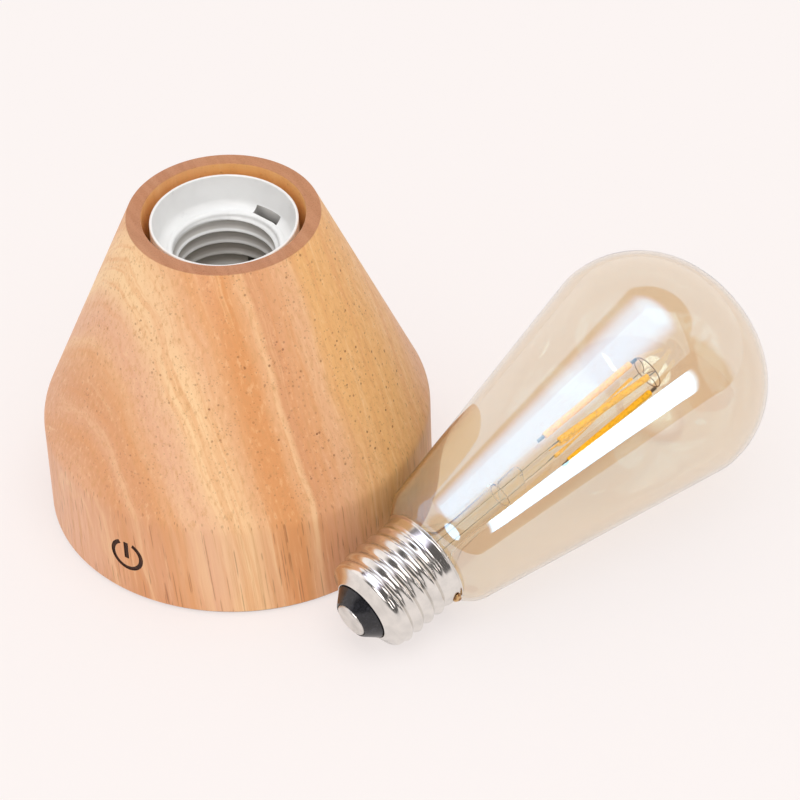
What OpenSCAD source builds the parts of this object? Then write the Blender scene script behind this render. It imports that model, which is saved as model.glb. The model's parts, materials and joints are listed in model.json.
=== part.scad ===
// Bare bulb table lamp: a turned wooden base with a sunken screw lampholder, a touch switch
// and a rechargeable cell, and a pear-shaped filament bulb that lies beside it.
// Millimetres, +Z up. The origin is the centre of the base's underside, on the table.
// The touch symbol faces -Y and the charging socket faces +Y.

/* [Wooden body] */
// Outer diameter of the straight band at the foot
body_d = 100; // [98:1:130]
// Height of the rim above the table
body_h = 90; // [75:1:120]
// Height at which the band turns into the cone
band_h = 28.5; // [26:0.5:36]
// Radius that rounds the turn from band to cone
knee_r = 8; // [4:0.5:12]
// Outer diameter of the flat rim
rim_d = 48.4; // [46:0.2:58]
// Diameter of the hole in the rim
top_bore_d = 41; // [40:0.2:43]
// Thickness of the band's wall
body_wall = 12; // [10:0.5:12]
// Depth of the ledge that carries the lampholder, below the rim
ledge_depth = 30; // [28:0.5:32]

/* [Foot] */
// Thickness of the foot pad
pad_t = 1; // [0.6:0.1:1.4]
// How far the pad's edge lies inside the band
pad_inset = 1; // [0.5:0.1:3]
// Thickness of the bottom cover
cover_t = 3; // [2.5:0.1:3.6]
// Width of the wooden ring that the cover seats on
cover_ledge = 6.8; // [6:0.1:7.4]

/* [Lampholder] */
// Outer diameter of the white collar
collar_d = 37.2; // [36:0.1:38]
// Depth of the collar's lip below the rim
collar_drop = 1.5; // [0.5:0.1:3]
// Depth of the thread's mouth below the rim
mouth_depth = 10.2; // [9:0.1:12]
// Smallest diameter of the lampholder's thread
socket_minor_d = 24.5; // [24.36:0.01:24.66]
// Largest diameter of the lampholder's thread
socket_major_d = 26.6; // [26.55:0.01:26.9]
// Distance between thread crests, on lampholder and bulb
thread_pitch = 3.629; // [3.6:0.001:3.66]
// Crests in the lampholder
socket_turns = 5; // [4:1:5]

/* [Touch switch and charging socket] */
// Height of the touch symbol's centre
symbol_z = 14; // [12:0.5:15]
// Outer diameter of the symbol's ring
symbol_d = 9.8; // [6:0.1:12]
// Width of the symbol's stroke
symbol_stroke = 1.2; // [0.8:0.1:1.6]
// Depth that the symbol is burnt into the wood
symbol_depth = 0.3; // [0.2:0.05:0.6]
// Height of the charging socket's centre
inlet_z = 14; // [13:0.5:16]

/* [Battery] */
// Diameter of the cell
cell_d = 18.4; // [14:0.1:18.6]
// Length of the cell
cell_l = 65; // [50:0.5:65.5]

/* [Bulb] */
// Length from the contact tip to the crown
bulb_l = 133; // [120:1:150]
// Largest diameter of the glass
belly_d = 64; // [58:0.5:77]
// Distance of the largest diameter from the tip
belly_pos = 107; // [98:0.5:115]
// Radius of the crown
crown_r = 52; // [46:0.5:60]
// Radius between cone and belly
flank_r = 16; // [10:0.5:24]
// Diameter of the glass shoulder above the cap
shoulder_d = 35.2; // [32:0.2:38]
// Height of the shoulder above the cap
shoulder_h = 6.4; // [5.5:0.1:9]
// Radius of the shoulder
shoulder_r = 8.6; // [7.5:0.1:9]
// Thickness of the glass
glass_t = 0.8; // [0.6:0.05:1.2]
// Length of the screw cap
cap_l = 26.2; // [25.5:0.1:27]
// Largest diameter of the cap's thread
cap_major_d = 26.2; // [26.05:0.01:26.45]
// Smallest diameter of the cap's thread
cap_minor_d = 24.1; // [23.96:0.01:24.26]
// Direction in which the bulb lies, from +X
bulb_dir = 75; // [70:1:80]
// Distance of the tip behind the point that is nearest the base
bulb_back = 21.2; // [18:0.1:24]
// Gap between glass and band
lay_clear = 0.6; // [0.4:0.1:3]
// Length of a light filament
filament_l = 35; // [30:0.5:38]
// Number of light filaments
filament_n = 4; // [2:1:4]

/* [Hidden] */
$fn = 72;
eps = 0.01;           // overrun of a cut past its face
slip = 0.1;           // clearance between parts that are slid together
screw_fit = 0.05;     // clearance between a screw and its pilot hole
gap_r = 0.2;          // radial clearance of discs in their rebates

// wooden body
body_r = body_d / 2;
rim_r = rim_d / 2;
top_bore_r = top_bore_d / 2;
cavity_r = body_r - body_wall;
ledge_z = body_h - ledge_depth;
ledge_w = 7.5;                         // width of the ledge round the bore
ledge_r = top_bore_r + ledge_w;
cone_a = atan2(body_r - rim_r, body_h - band_h);
cover_z = pad_t;
floor_z = cover_z + cover_t;           // top of the bottom cover
cover_r = cavity_r + cover_ledge;
cover_screw_r = cavity_r + cover_ledge / 2;
cover_screw_l = 10;
wood_screw_r = 1.5;

// lampholder, hung from the rim
collar_r = collar_d / 2;
collar_z = body_h - collar_drop;
collar_t = 1.1;                        // wall of the collar
skirt_l = 24.5;                        // length of the collar
mouth_z = body_h - mouth_depth;
shelf_drop = 0.7;                      // shelf round the mouth, below its lip
shelf_t = 1.6;
socket_minor_r = socket_minor_d / 2;
socket_major_r = socket_major_d / 2;
first_crest_z = mouth_z - 2.6;
land_w = 1;                            // flat on each crest of the lampholder's thread
tube_r = 15.6;                         // outside of the threaded tube
carrier_r = 14;
carrier_h = 7;
carrier_z = mouth_z - 29.8;            // underside of the contact carrier
carrier_top = carrier_z + carrier_h;
latch_a = 83;                          // direction of the latch slot, from +X
latch_w = 7;
latch_t = 2.2;

// contacts
strip_t = 0.6;
strip_w = 5;
centre_root_y = -8.7;
side_root_y = 13.2;
hinge_r = 0.3;                         // rolled root of a contact tongue
root_z = carrier_top + 0.75;
tongue_t = 0.5;
plate_t = 0.7;                         // terminal plates under the carrier
terminal_y = 10.8;                     // terminal screws, from the axis
terminal_screw_r = 1.5;

// bracket
bracket_t = 1.5;
bracket_w = 12;
bracket_leg = 19.2;                    // inside of each leg, from the axis
bracket_foot = 6.5;                    // length of each foot
bracket_screw_x = bracket_leg + bracket_t + bracket_foot / 2;
bracket_screw_l = 11;
holder_screw_x = 9;

// touch switch
touch_skin = 3.5;                      // wood left in front of the touch plate
touch_pocket_r = 9;
touch_plate_r = 8;
touch_plate_t = 0.5;
touch_face_y = -(body_r - touch_skin);

// battery and its holder
holder_floor = 1.5;
holder_wall = 0.9;
cell_gap = 0.2;
contact_room = 1.9;                    // space for a contact at each end of the cell
end_wall = 1.6;
cell_z = floor_z + holder_floor + cell_gap + cell_d / 2;
holder_x = cell_l / 2 + contact_room + end_wall;
holder_y = cell_d / 2 + cell_gap + holder_wall;
contact_t = 0.4;
holder_screw_offset = 25;

// control board
board_x = 46;
board_t = 1.6;
board_z = cell_z + cell_d / 2 + 0.9;
board_top = board_z + board_t;
post_x = 20;
post_y = max(14.5, holder_y + 3.4);
post_r = 2.6;
board_screw_r = 1.1;
lead_r = 0.7;
socket_h = 4.2;                        // sockets for the leads
socket_recess = 0.8;
plug_z = board_top + socket_h - socket_recess + 0.22;

// charging socket
slot_x = 15;
slot_z = 9;
bezel_t = 1.6;
inlet_w = 8.94;
inlet_h = 3.26;
inlet_l = 7.35;
inlet_t = 0.3;
inlet_front = body_r - 0.5;            // front of the metal shell
charge_board_t = 1;
charge_board_z = inlet_z - inlet_h / 2 - 0.05 - charge_board_t;

// bulb
belly_r = belly_d / 2;
shoulder_z = cap_l + shoulder_h;
thread_crest = 9.6;                    // first crest of the cap, from the tip
cap_turns = 4;
skin_t = 0.35;                         // sheet of the screw shell
skirt_r = 12.9;
lip_r = 13.6;
shell_foot_r = 8.3;                    // small end of the screw shell
shell_foot_z = 4;
tip_r = 4.75;
neck_r = 12.3;
cap_major_r = cap_major_d / 2;
cap_minor_r = cap_minor_d / 2;
crest_a = 20;                          // half the flat on a crest, in degrees of a turn
wave_steps = [-180, -135, -90, -50, -crest_a, crest_a, 50, 90, 135];
shell_end = thread_crest + (cap_turns - 0.5) * thread_pitch;
neck_z = shell_end + 0.9;
bond_r = 0.05;                         // hairline between cement and what it joins

// stem and filaments inside the bulb
press_z = 52;
press_top = 60;
filament_z = 70;                       // lower end of the filaments
filament_r = 4.6;
filament_d = 1.8;
filament_twist = 30;
filament_phase = 20;
solder_a = -68;                        // direction of the solder dab, round the bulb
wire_r = 0.3;
wire_x = 2.1;                          // lead-in wires in the stem, from the axis
rod_r = 1;
ring_wire_r = 0.25;
driver_z = 8;
driver_h = 12;

// ---------- outlines ----------

// points of an arc round c = [r, z], from angle a0 to a1 in n steps
function arc(c, r, a0, a1, n) = [for (i = [0:n]) let (a = a0 + (a1 - a0) * i / n)
    [c[0] + r * cos(a), c[1] + r * sin(a)]];

// the glass: shoulder, cone, flank, belly and crown, each a smooth continuation of the last.
// The cone touches the shoulder arc at [shoulder_d / 2, shoulder_z] and the flank arc.
function flank_c() = [belly_r - flank_r, belly_pos];
function glass_a() = let (v = flank_c() - [shoulder_d / 2, shoulder_z])
    atan2(v[0], v[1]) + asin(flank_r / norm(v));
function shoulder_c() = [shoulder_d / 2, shoulder_z]
    - shoulder_r * [cos(glass_a()), -sin(glass_a())];
function crown_k() = belly_pos - bulb_l + crown_r;
function belly_arc_r() = (crown_r * crown_r - belly_r * belly_r - crown_k() * crown_k())
    / (2 * (crown_r - belly_r));
function crown_a() = atan2(crown_k(), belly_r - belly_arc_r());
function glass_line(t) = let (neck = neck_r - t, c = shoulder_c(), a = glass_a()) concat(
    [[neck, neck_z]],
    arc(c, shoulder_r - t, -acos((neck - c[0]) / (shoulder_r - t)), -a, 12),
    arc(flank_c(), flank_r - t, -a, 0, 6),
    arc([belly_r - belly_arc_r(), belly_pos], belly_arc_r() - t, 6, crown_a(), 14),
    arc([0, bulb_l - crown_r], crown_r - t, crown_a(), 90, 8));

// the cap's screw thread as level rings: waves with a narrow flat on each crest
function wave_r(a) = (cap_major_r + cap_minor_r) / 2 + (cap_major_r - cap_minor_r) / 2 * cos(a);
function shell_line(t) = concat(
    [[shell_foot_r - t, shell_foot_z]],
    [for (i = [0:cap_turns - 1]) each [for (a = wave_steps)
        [(abs(a) == crest_a ? cap_major_r : wave_r(a)) - t,
        thread_crest + (i + a / 360) * thread_pitch]]],
    [[cap_minor_r - t, shell_end], [skirt_r - t, shell_end + 0.8], [skirt_r - t, cap_l - 0.7]]);

// where the bulb lies: its first crest and its flank both touch the table
flat_z = thread_crest - thread_pitch * crest_a / 360;
flank_v = flank_c() - [cap_major_r, flat_z];
bulb_tilt = acos(-flank_r / norm(flank_v)) - atan2(flank_v[1], flank_v[0]);
tip_z = cap_major_r * cos(bulb_tilt) - flat_z * sin(bulb_tilt);
lay_offset = max([for (p = glass_line(0)) sqrt(max(0, pow(body_r + p[0] + lay_clear, 2)
    - pow(p[1] * cos(bulb_tilt) - bulb_back, 2)))]);
tip_x = lay_offset * sin(bulb_dir) - bulb_back * cos(bulb_dir);
tip_y = -lay_offset * cos(bulb_dir) - bulb_back * sin(bulb_dir);

// ---------- shared shapes ----------

module ring(r_out, r_in, h) {
    difference() {
        cylinder(r = r_out, h = h);
        translate([0, 0, -eps]) cylinder(r = r_in, h = h + 2 * eps);
    }
}

module bar(x, y, z) {
    translate([-x / 2, -y / 2, 0]) cube([x, y, z]);
}

// pan-head screw with its head's underside at z = 0 and its shank up
module pan_screw(r, l, head_r, head_h) {
    cylinder(r = r, h = l);
    difference() {
        translate([0, 0, -head_h]) cylinder(r = head_r, h = head_h);
        translate([0, 0, -head_h - eps]) cross_slot(head_r * 1.1, 0.8);
    }
}

// countersunk screw with its flat head at z = 0 and its shank up
module sunk_screw(r, l, head_r, head_h) {
    difference() {
        union() {
            cylinder(r1 = head_r, r2 = r, h = head_h);
            cylinder(r = r, h = l);
        }
        translate([0, 0, -eps]) cross_slot(head_r * 1.1, 0.8);
    }
}

module cross_slot(l, depth) {
    bar(l, 0.7, depth);
    bar(0.7, l, depth);
}

module sunk_hole(r, head_r, head_h, depth) {
    translate([0, 0, -eps]) cylinder(r = r + slip, h = depth + 2 * eps);
    translate([0, 0, -eps]) cylinder(r1 = head_r + slip, r2 = r + slip, h = head_h);
}

module at_cover_screws() {
    for (a = [45:90:315]) rotate([0, 0, a]) translate([cover_screw_r, 0, 0]) children();
}

module at_posts() {
    for (x = [-post_x, post_x], y = [-post_y, post_y]) translate([x, y, 0]) children();
}

module mirror_pair(v) {
    children();
    mirror(v) children();
}

// insulated wire: one tube through the points, as a smooth curve
function curve(p, n) = [for (i = [0:len(p) - 2]) for (j = [0:n - 1]) spline(p, i, j / n)];
function spline(p, i, t) = let (a = p[max(i - 1, 0)], b = p[i], c = p[i + 1],
    d = p[min(i + 2, len(p) - 1)]) 0.5 * (2 * b + (c - a) * t
    + (2 * a - 5 * b + 4 * c - d) * t * t + (3 * b - a - 3 * c + d) * t * t * t);
function unit(v) = v / norm(v);
function carried(u, t) = unit(u - (u * t) * t);
function frames(p, i, u) = i == len(p) ? [] : let (t = unit(p[min(i + 1, len(p) - 1)]
    - p[max(i - 1, 0)]), w = carried(u, t)) concat([[w, cross(t, w)]], frames(p, i + 1, w));

module tube(points, r, start_side = [1, 0.3, 0.1], sides = 8, steps = 4) {
    p = concat(curve(points, steps), [points[len(points) - 1]]);
    f = frames(p, 0, start_side);
    verts = [for (i = [0:len(p) - 1]) for (k = [0:sides - 1]) p[i]
        + r * (cos(360 * k / sides) * f[i][0] + sin(360 * k / sides) * f[i][1])];
    side_faces = [for (i = [0:len(p) - 2]) for (k = [0:sides - 1])
        let (a = i * sides + k, b = i * sides + (k + 1) % sides)
        each [[a, a + sides, b], [b, a + sides, b + sides]]];
    end_faces = [[for (k = [0:sides - 1]) k],
        [for (k = [sides - 1:-1:0]) (len(p) - 1) * sides + k]];
    polyhedron(verts, concat(side_faces, end_faces));
}

module in_bulb() {
    translate([tip_x, tip_y, tip_z]) rotate([0, 90 - bulb_tilt, bulb_dir]) children();
}

// ---------- wooden body ----------

module body_outline() {
    tangent = knee_r * tan(cone_a / 2);
    rim_edge = 0.4;
    polygon(concat(
        [[0, pad_t], [body_r - 0.5, pad_t], [body_r, pad_t + 0.5]],
        arc([body_r - knee_r, band_h - tangent], knee_r, 0, cone_a, 8),
        [[rim_r + rim_edge * sin(cone_a), body_h - rim_edge], [rim_r - rim_edge, body_h],
        [0, body_h]]));
}

module body_hollow() {
    polygon([[0, pad_t - eps], [cover_r + gap_r, pad_t - eps], [cover_r + gap_r, floor_z],
        [cavity_r, floor_z], [cavity_r, band_h], [ledge_r, ledge_z], [top_bore_r, ledge_z],
        [top_bore_r, body_h + eps], [0, body_h + eps]]);
}

module symbol_outline() {
    opening = 30;
    ring_r = symbol_d / 2;
    bar_w = symbol_stroke * 1.15;
    bar_low = -ring_r * 0.2;
    bar_top = ring_r * 0.88;
    difference() {
        circle(r = ring_r);
        circle(r = ring_r - symbol_stroke);
        polygon([[0, 0], [symbol_d * tan(opening), symbol_d], [-symbol_d * tan(opening), symbol_d]]);
    }
    translate([-bar_w / 2, bar_low]) square([bar_w, bar_top - bar_low]);
}

module symbol_cut() {
    intersection() {
        translate([0, -body_r + 5, symbol_z]) rotate([90, 0, 0])
            linear_extrude(8) symbol_outline();
        ring(body_r + 2, body_r - symbol_depth, body_h);
    }
}

module inlet_slot(extra) {
    rounding = 2;
    for (x = [-1, 1], z = [-1, 1])
        translate([x * (slot_x / 2 - rounding), 0, inlet_z + z * (slot_z / 2 - rounding)])
            rotate([-90, 0, 0]) cylinder(r = rounding + extra, h = body_r + 5);
    translate([-slot_x / 2 - extra, 0, inlet_z - slot_z / 2 + rounding])
        cube([slot_x + 2 * extra, body_r + 5, slot_z - 2 * rounding]);
    translate([-slot_x / 2 + rounding, 0, inlet_z - slot_z / 2 - extra])
        cube([slot_x - 2 * rounding, body_r + 5, slot_z + 2 * extra]);
}

module wood_body() {
    color("burlywood") difference() {
        rotate_extrude() difference() {
            body_outline();
            body_hollow();
        }
        symbol_cut();
        translate([0, 0, symbol_z]) rotate([90, 0, 0])
            cylinder(r = touch_pocket_r, h = body_r - touch_skin);
        intersection() {
            inlet_slot(0);
            translate([0, cavity_r - 3, 0]) bar(2 * slot_x, 2 * body_wall + 10, band_h + 10);
        }
        at_cover_screws() translate([0, 0, floor_z - eps])
            cylinder(r = wood_screw_r + screw_fit, h = cover_screw_l - cover_t + 1);
        mirror_pair([1, 0, 0]) translate([bracket_screw_x, 0, ledge_z - eps])
            cylinder(r = wood_screw_r + screw_fit, h = bracket_screw_l - bracket_t + 1);
    }
}

// ---------- foot ----------

module foot_pad() {
    color("gainsboro") cylinder(r = body_r - pad_inset, h = pad_t);
}

module bottom_cover() {
    color("dimgray") difference() {
        union() {
            translate([0, 0, cover_z]) cylinder(r = cover_r, h = cover_t);
            at_posts() translate([0, 0, cover_z]) cylinder(r = post_r, h = board_z - cover_z);
        }
        at_cover_screws() translate([0, 0, cover_z]) sunk_hole(wood_screw_r, 2.9, 1.6, cover_t);
        at_posts() translate([0, 0, board_z - 8])
            cylinder(r = board_screw_r + screw_fit, h = 8 + eps);
        mirror_pair([1, 0, 0]) translate([holder_screw_offset, 0, floor_z - 2.4])
            cylinder(r = board_screw_r + screw_fit, h = 2.4 + eps);
    }
}

module cover_screws() {
    color("silver") at_cover_screws() translate([0, 0, cover_z])
        sunk_screw(wood_screw_r, cover_screw_l, 2.9, 1.6);
}

// ---------- lampholder ----------

function thread_line() = [for (i = [0:socket_turns - 1]) each let (
    z = first_crest_z - i * thread_pitch) [[socket_major_r, z + thread_pitch / 2],
    [socket_major_r - 0.3, z + 0.9], [socket_minor_r, z + land_w / 2],
    [socket_minor_r, z - land_w / 2], [socket_major_r - 0.3, z - 0.9]]];

module shell_outline() {
    inner_r = collar_r - collar_t;
    shelf_z = mouth_z - shelf_drop;
    bowl_r = 3;
    polygon(concat(
        [[tube_r, carrier_z], [tube_r, shelf_z - shelf_t], [inner_r, shelf_z - shelf_t],
        [inner_r, collar_z - skirt_l], [collar_r, collar_z - skirt_l],
        [collar_r, collar_z - 0.4], [collar_r - 0.4, collar_z], [inner_r + 0.3, collar_z],
        [inner_r, collar_z - 0.3], [inner_r - 0.5, shelf_z + bowl_r]],
        arc([inner_r - 0.5 - bowl_r, shelf_z + bowl_r], bowl_r, 0, -70, 6),
        [[tube_r - 1.3, shelf_z], [socket_major_r + 0.8, mouth_z]],
        arc([socket_major_r + 0.8, mouth_z - 0.8], 0.8, 90, 180, 4),
        thread_line(),
        [[socket_major_r, first_crest_z - socket_turns * thread_pitch + 1],
        [socket_major_r, carrier_top + 0.2], [carrier_r + gap_r, carrier_top + 0.2],
        [carrier_r + gap_r, carrier_z]]));
}

module lampholder_shell() {
    color("white") difference() {
        rotate_extrude() shell_outline();
        rotate([0, 0, latch_a]) translate([socket_major_r + 1, -latch_w / 2, mouth_z - 6])
            cube([latch_t, latch_w, 8]);
        translate([-strip_w / 2 - 0.7, socket_minor_r - 1, carrier_top - 0.5])
            cube([strip_w + 1.4, tube_r - socket_minor_r + 1.6, 10.3]);
    }
}

module contact_carrier() {
    color("lightgray") difference() {
        translate([0, 0, carrier_z]) cylinder(r = carrier_r, h = carrier_h);
        translate([-strip_w / 2 - slip, centre_root_y - strip_t / 2 - slip, carrier_z - eps])
            cube([strip_w + 2 * slip, strip_t + 2 * slip, carrier_h + 2 * eps]);
        translate([-strip_w / 2 - slip, side_root_y - strip_t / 2 - slip, carrier_z - eps])
            cube([strip_w + 2 * slip, 3, carrier_h + 2 * eps]);
        for (y = [-terminal_y, terminal_y]) translate([0, y, carrier_z - eps])
            cylinder(r = terminal_screw_r + screw_fit, h = 4.5);
        for (x = [-holder_screw_x, holder_screw_x]) translate([x, 0, carrier_z - eps])
            cylinder(r = terminal_screw_r + screw_fit, h = 5);
    }
}

// a terminal: a plate under the carrier and a leg that rises through it to root_y
module terminal(root_y, outward) {
    leg = root_y - strip_t / 2;
    plate_y = outward > 0 ? terminal_y - 2.9 : -terminal_y - 2.9;
    difference() {
        union() {
            translate([-strip_w / 2, leg, carrier_z - plate_t])
                cube([strip_w, strip_t, root_z - hinge_r - slip - carrier_z + plate_t]);
            translate([-strip_w / 2, plate_y, carrier_z - plate_t]) cube([strip_w + 4, 5.8, plate_t]);
        }
        translate([0, outward * terminal_y, carrier_z - plate_t - eps])
            cylinder(r = terminal_screw_r + screw_fit, h = plate_t + 2 * eps);
    }
}

module centre_terminal() {
    color("goldenrod") terminal(centre_root_y, -1);
}

module side_terminal() {
    color("goldenrod") terminal(side_root_y, 1);
}

// strip bent along the points [y, z], its thickness measured along y or z
module bent_strip(points, shift) {
    count = len(points);
    rotate([90, 0, 90]) translate([0, 0, -strip_w / 2]) linear_extrude(strip_w)
        polygon(concat(points, [for (i = [count - 1:-1:0]) points[i] + shift]));
}

module centre_tongue() {
    rise = 3.6;
    color("gold") {
        translate([-strip_w / 2, centre_root_y, root_z]) rotate([0, 90, 0])
            cylinder(r = hinge_r, h = strip_w);
        bent_strip([[centre_root_y, root_z - tongue_t / 2], [-1.8, root_z + rise - tongue_t],
            [1.8, root_z + rise - tongue_t], [3, root_z + rise - 1.3]], [0, tongue_t]);
    }
}

module side_tongue() {
    reach = socket_minor_r + 0.15;
    color("gold") {
        translate([-strip_w / 2, side_root_y, root_z]) rotate([0, 90, 0])
            cylinder(r = hinge_r, h = strip_w);
        bent_strip([[side_root_y - tongue_t / 2, root_z], [reach, root_z + 5.2],
            [reach, root_z + 6.4], [reach + 0.5, root_z + 7.6]], [tongue_t, 0]);
    }
}

module terminal_screws() {
    color("silver") for (y = [-terminal_y, terminal_y])
        translate([0, y, carrier_z - plate_t]) pan_screw(terminal_screw_r, 4.5, 2.6, 1.8);
}

module mounting_bracket() {
    color("lightsteelblue") difference() {
        union() {
            translate([0, 0, carrier_z - bracket_t])
                bar(2 * (bracket_leg + bracket_t), bracket_w, bracket_t);
            mirror_pair([1, 0, 0]) {
                translate([bracket_leg, -bracket_w / 2, carrier_z - bracket_t])
                    cube([bracket_t, bracket_w, ledge_z - carrier_z + bracket_t]);
                translate([bracket_leg, -bracket_w / 2, ledge_z - bracket_t])
                    cube([bracket_t + bracket_foot, bracket_w, bracket_t]);
            }
        }
        mirror_pair([1, 0, 0]) {
            translate([holder_screw_x, 0, carrier_z - bracket_t - eps])
                cylinder(r = terminal_screw_r + slip, h = bracket_t + 2 * eps);
            translate([bracket_screw_x, 0, ledge_z - bracket_t - eps])
                cylinder(r = wood_screw_r + slip, h = bracket_t + 2 * eps);
        }
    }
}

module bracket_screws() {
    color("silver") mirror_pair([1, 0, 0]) translate([bracket_screw_x, 0, ledge_z - bracket_t])
        pan_screw(wood_screw_r, bracket_screw_l, 2.8, 1.8);
}

module lampholder_screws() {
    color("silver") for (x = [-holder_screw_x, holder_screw_x])
        translate([x, 0, carrier_z - bracket_t]) pan_screw(terminal_screw_r, 6, 2.7, 1.8);
}

// from a socket on the board to the plate of a terminal
module terminal_lead(side) {
    rise = carrier_z - plate_t - lead_r - plug_z;
    tube([[8, side * 9.5, plug_z], [8, side * 9.5, plug_z + 0.35 * rise],
        [8.6, side * 10.8, plug_z + 0.6 * rise], [9.2, side * 12, plug_z + 0.85 * rise],
        [7.5, side * 12, plug_z + 0.97 * rise], [4.6, side * terminal_y, plug_z + rise]], lead_r);
}

module live_lead() {
    color("saddlebrown") terminal_lead(-1);
}

module neutral_lead() {
    color("royalblue") terminal_lead(1);
}

// ---------- touch switch ----------

module touch_plate() {
    color("peru") translate([0, touch_face_y + touch_plate_t, symbol_z]) rotate([90, 0, 0])
        cylinder(r = touch_plate_r, h = touch_plate_t);
}

module touch_lead() {
    back = touch_face_y + touch_plate_t + lead_r;
    color("orange") tube([[0, back, symbol_z + 3], [0, back + 3, symbol_z + 6.5],
        [-2, -cavity_r + 5, board_z - 4], [-6, -24, board_top + 3.5],
        [-8, -14, board_top + 6.5], [-8, -9.5, plug_z + 2], [-8, -9.5, plug_z]], lead_r);
}

// ---------- control board ----------

module control_board() {
    color("darkgreen") difference() {
        translate([0, 0, board_z]) bar(board_x, 2 * post_y + 7, board_t);
        at_posts() translate([0, 0, board_z - eps])
            cylinder(r = board_screw_r + slip, h = board_t + 2 * eps);
    }
}

module board_screws() {
    color("silver") at_posts() translate([0, 0, board_top]) mirror([0, 0, 1])
        pan_screw(board_screw_r, 7, 2.1, 1.4);
}

module touch_chip() {
    body_x = 5;
    body_y = 4;
    color("black") translate([-12, 0, board_top]) {
        translate([0, 0, 0.15]) bar(body_x, body_y, 1.4);
        for (i = [0:3], side = [-1, 1]) translate([-1.9 + i * 1.27, side * (body_y / 2 + 0.4), 0])
            bar(0.4, 0.9, 0.6);
    }
}

module boost_inductor() {
    color("dimgray") translate([0, 0, board_top]) {
        bar(7, 7, 0.6);
        translate([0, 0, 0.6]) cylinder(r = 3.3, h = 3);
    }
}

module board_capacitors() {
    color("slategray") for (y = [-4, 4]) translate([14, y, board_top]) {
        cylinder(r = 3.15, h = 5.4);
        bar(6.6, 6.6, 0.8);
    }
}

// sockets for the leads, with a recess in each top
module lead_connectors() {
    places = [[8, -9.5], [8, 9.5], [-8, -9.5], [-8, 9.5], [0, 14]];
    color("ivory") for (p = places) translate([p[0], p[1], board_top]) difference() {
        bar(4, 3.6, socket_h);
        translate([0, 0, socket_h - socket_recess]) bar(2.8, 2.4, 1);
    }
}

// ---------- battery ----------

module battery_cell() {
    color("mediumturquoise") translate([-cell_l / 2, 0, cell_z]) rotate([0, 90, 0]) {
        cylinder(r = cell_d / 2, h = cell_l - 1);
        cylinder(r = 3.2, h = cell_l);
    }
}

module battery_holder() {
    height = cell_z - floor_z + 2;
    color("black") difference() {
        translate([0, 0, floor_z]) bar(2 * holder_x, 2 * holder_y, height);
        translate([-holder_x + end_wall, 0, cell_z]) rotate([0, 90, 0])
            cylinder(r = cell_d / 2 + cell_gap, h = 2 * (holder_x - end_wall));
        translate([0, 0, cell_z - 1]) bar(2 * (holder_x - end_wall), 2 * holder_y - 2 * holder_wall,
            height);
        mirror_pair([1, 0, 0]) translate([holder_screw_offset, 0, floor_z + holder_floor])
            mirror([0, 0, 1]) sunk_hole(board_screw_r, 2.1, 1.1, holder_floor);
    }
}

module battery_contacts() {
    touch = cell_l / 2 + slip;             // where the leaf bears on the cell
    lip = touch + 0.8;
    back = cell_l / 2 + contact_room - slip;
    front = back - contact_t;
    color("silver") mirror_pair([1, 0, 0]) translate([0, 4, cell_z]) rotate([90, 0, 0])
        linear_extrude(8) polygon([[back, -5], [back, 5], [front, 5], [touch, 0], [lip, -2.6],
            [lip + contact_t, -2.6], [touch + contact_t, 0], [front, 3.8], [front, -5]]);
}

module holder_screws() {
    color("silver") mirror_pair([1, 0, 0]) translate([holder_screw_offset, 0,
        floor_z + holder_floor]) mirror([0, 0, 1]) sunk_screw(board_screw_r, 3.6, 2.1, 1.1);
}

module battery_lead(side) {
    wall = cell_l / 2 + contact_room;
    plug_x = side > 0 ? 0 : -8;
    plug_y = side > 0 ? 14 : 9.5;
    over_y = side > 0 ? 15.5 : 13;
    tube([[side * (wall - slip - contact_t / 2), 0, cell_z + 5 + lead_r],
        [side * (wall - 0.6), 3, cell_z + 9.5], [side * 30, 9, board_z + 2],
        [side * 25.5, 13, board_top + 3.5], [side * 13, over_y, board_top + 5.5],
        [plug_x + side * 2, plug_y + 0.6, plug_z + 2.6], [plug_x, plug_y, plug_z + 1.4],
        [plug_x, plug_y, plug_z]], lead_r);
}

module battery_plus_lead() {
    color("red") battery_lead(1);
}

module battery_minus_lead() {
    color("black") battery_lead(-1);
}

// ---------- charging socket ----------

module inlet_round(w, h, l) {
    for (x = [-1, 1]) translate([x * (w - h) / 2, 0, 0]) cylinder(r = h / 2, h = l);
    translate([-(w - h) / 2, -h / 2, 0]) cube([w - h, h, l]);
}

module at_inlet(y) {
    translate([0, y, inlet_z]) rotate([90, 0, 0]) children();
}

module charging_bezel() {
    back_y = cavity_r - 2;
    pocket_low = charge_board_z - 0.05;
    color("black") difference() {
        intersection() {
            inlet_slot(-slip);
            translate([0, 0, inlet_z - slot_z]) cylinder(r = body_r - 0.1, h = 2 * slot_z);
            translate([-slot_x, back_y, inlet_z - slot_z]) cube([2 * slot_x, 30, 2 * slot_z]);
        }
        translate([-slot_x / 2 + bezel_t, back_y - eps, pocket_low])
            cube([slot_x - 2 * bezel_t, body_r - back_y - 2.1,
                inlet_z + slot_z / 2 - bezel_t - pocket_low]);
        at_inlet(body_r + 1) inlet_round(inlet_w + 2 * slip, inlet_h + 2 * slip, 6);
    }
}

module charging_socket() {
    color("silver") at_inlet(inlet_front) {
        difference() {
            inlet_round(inlet_w, inlet_h, inlet_l);
            translate([0, 0, -eps]) inlet_round(inlet_w - 2 * inlet_t, inlet_h - 2 * inlet_t,
                inlet_l - 1);
        }
        translate([-3.35, -0.35, 0.9]) cube([6.7, 0.7, inlet_l - 1]);
    }
}

module charging_board() {
    back_y = cavity_r - 5;
    color("darkgreen") translate([-5.6, back_y, charge_board_z])
        cube([11.2, inlet_front - 2.6 - back_y, charge_board_t]);
}

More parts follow.
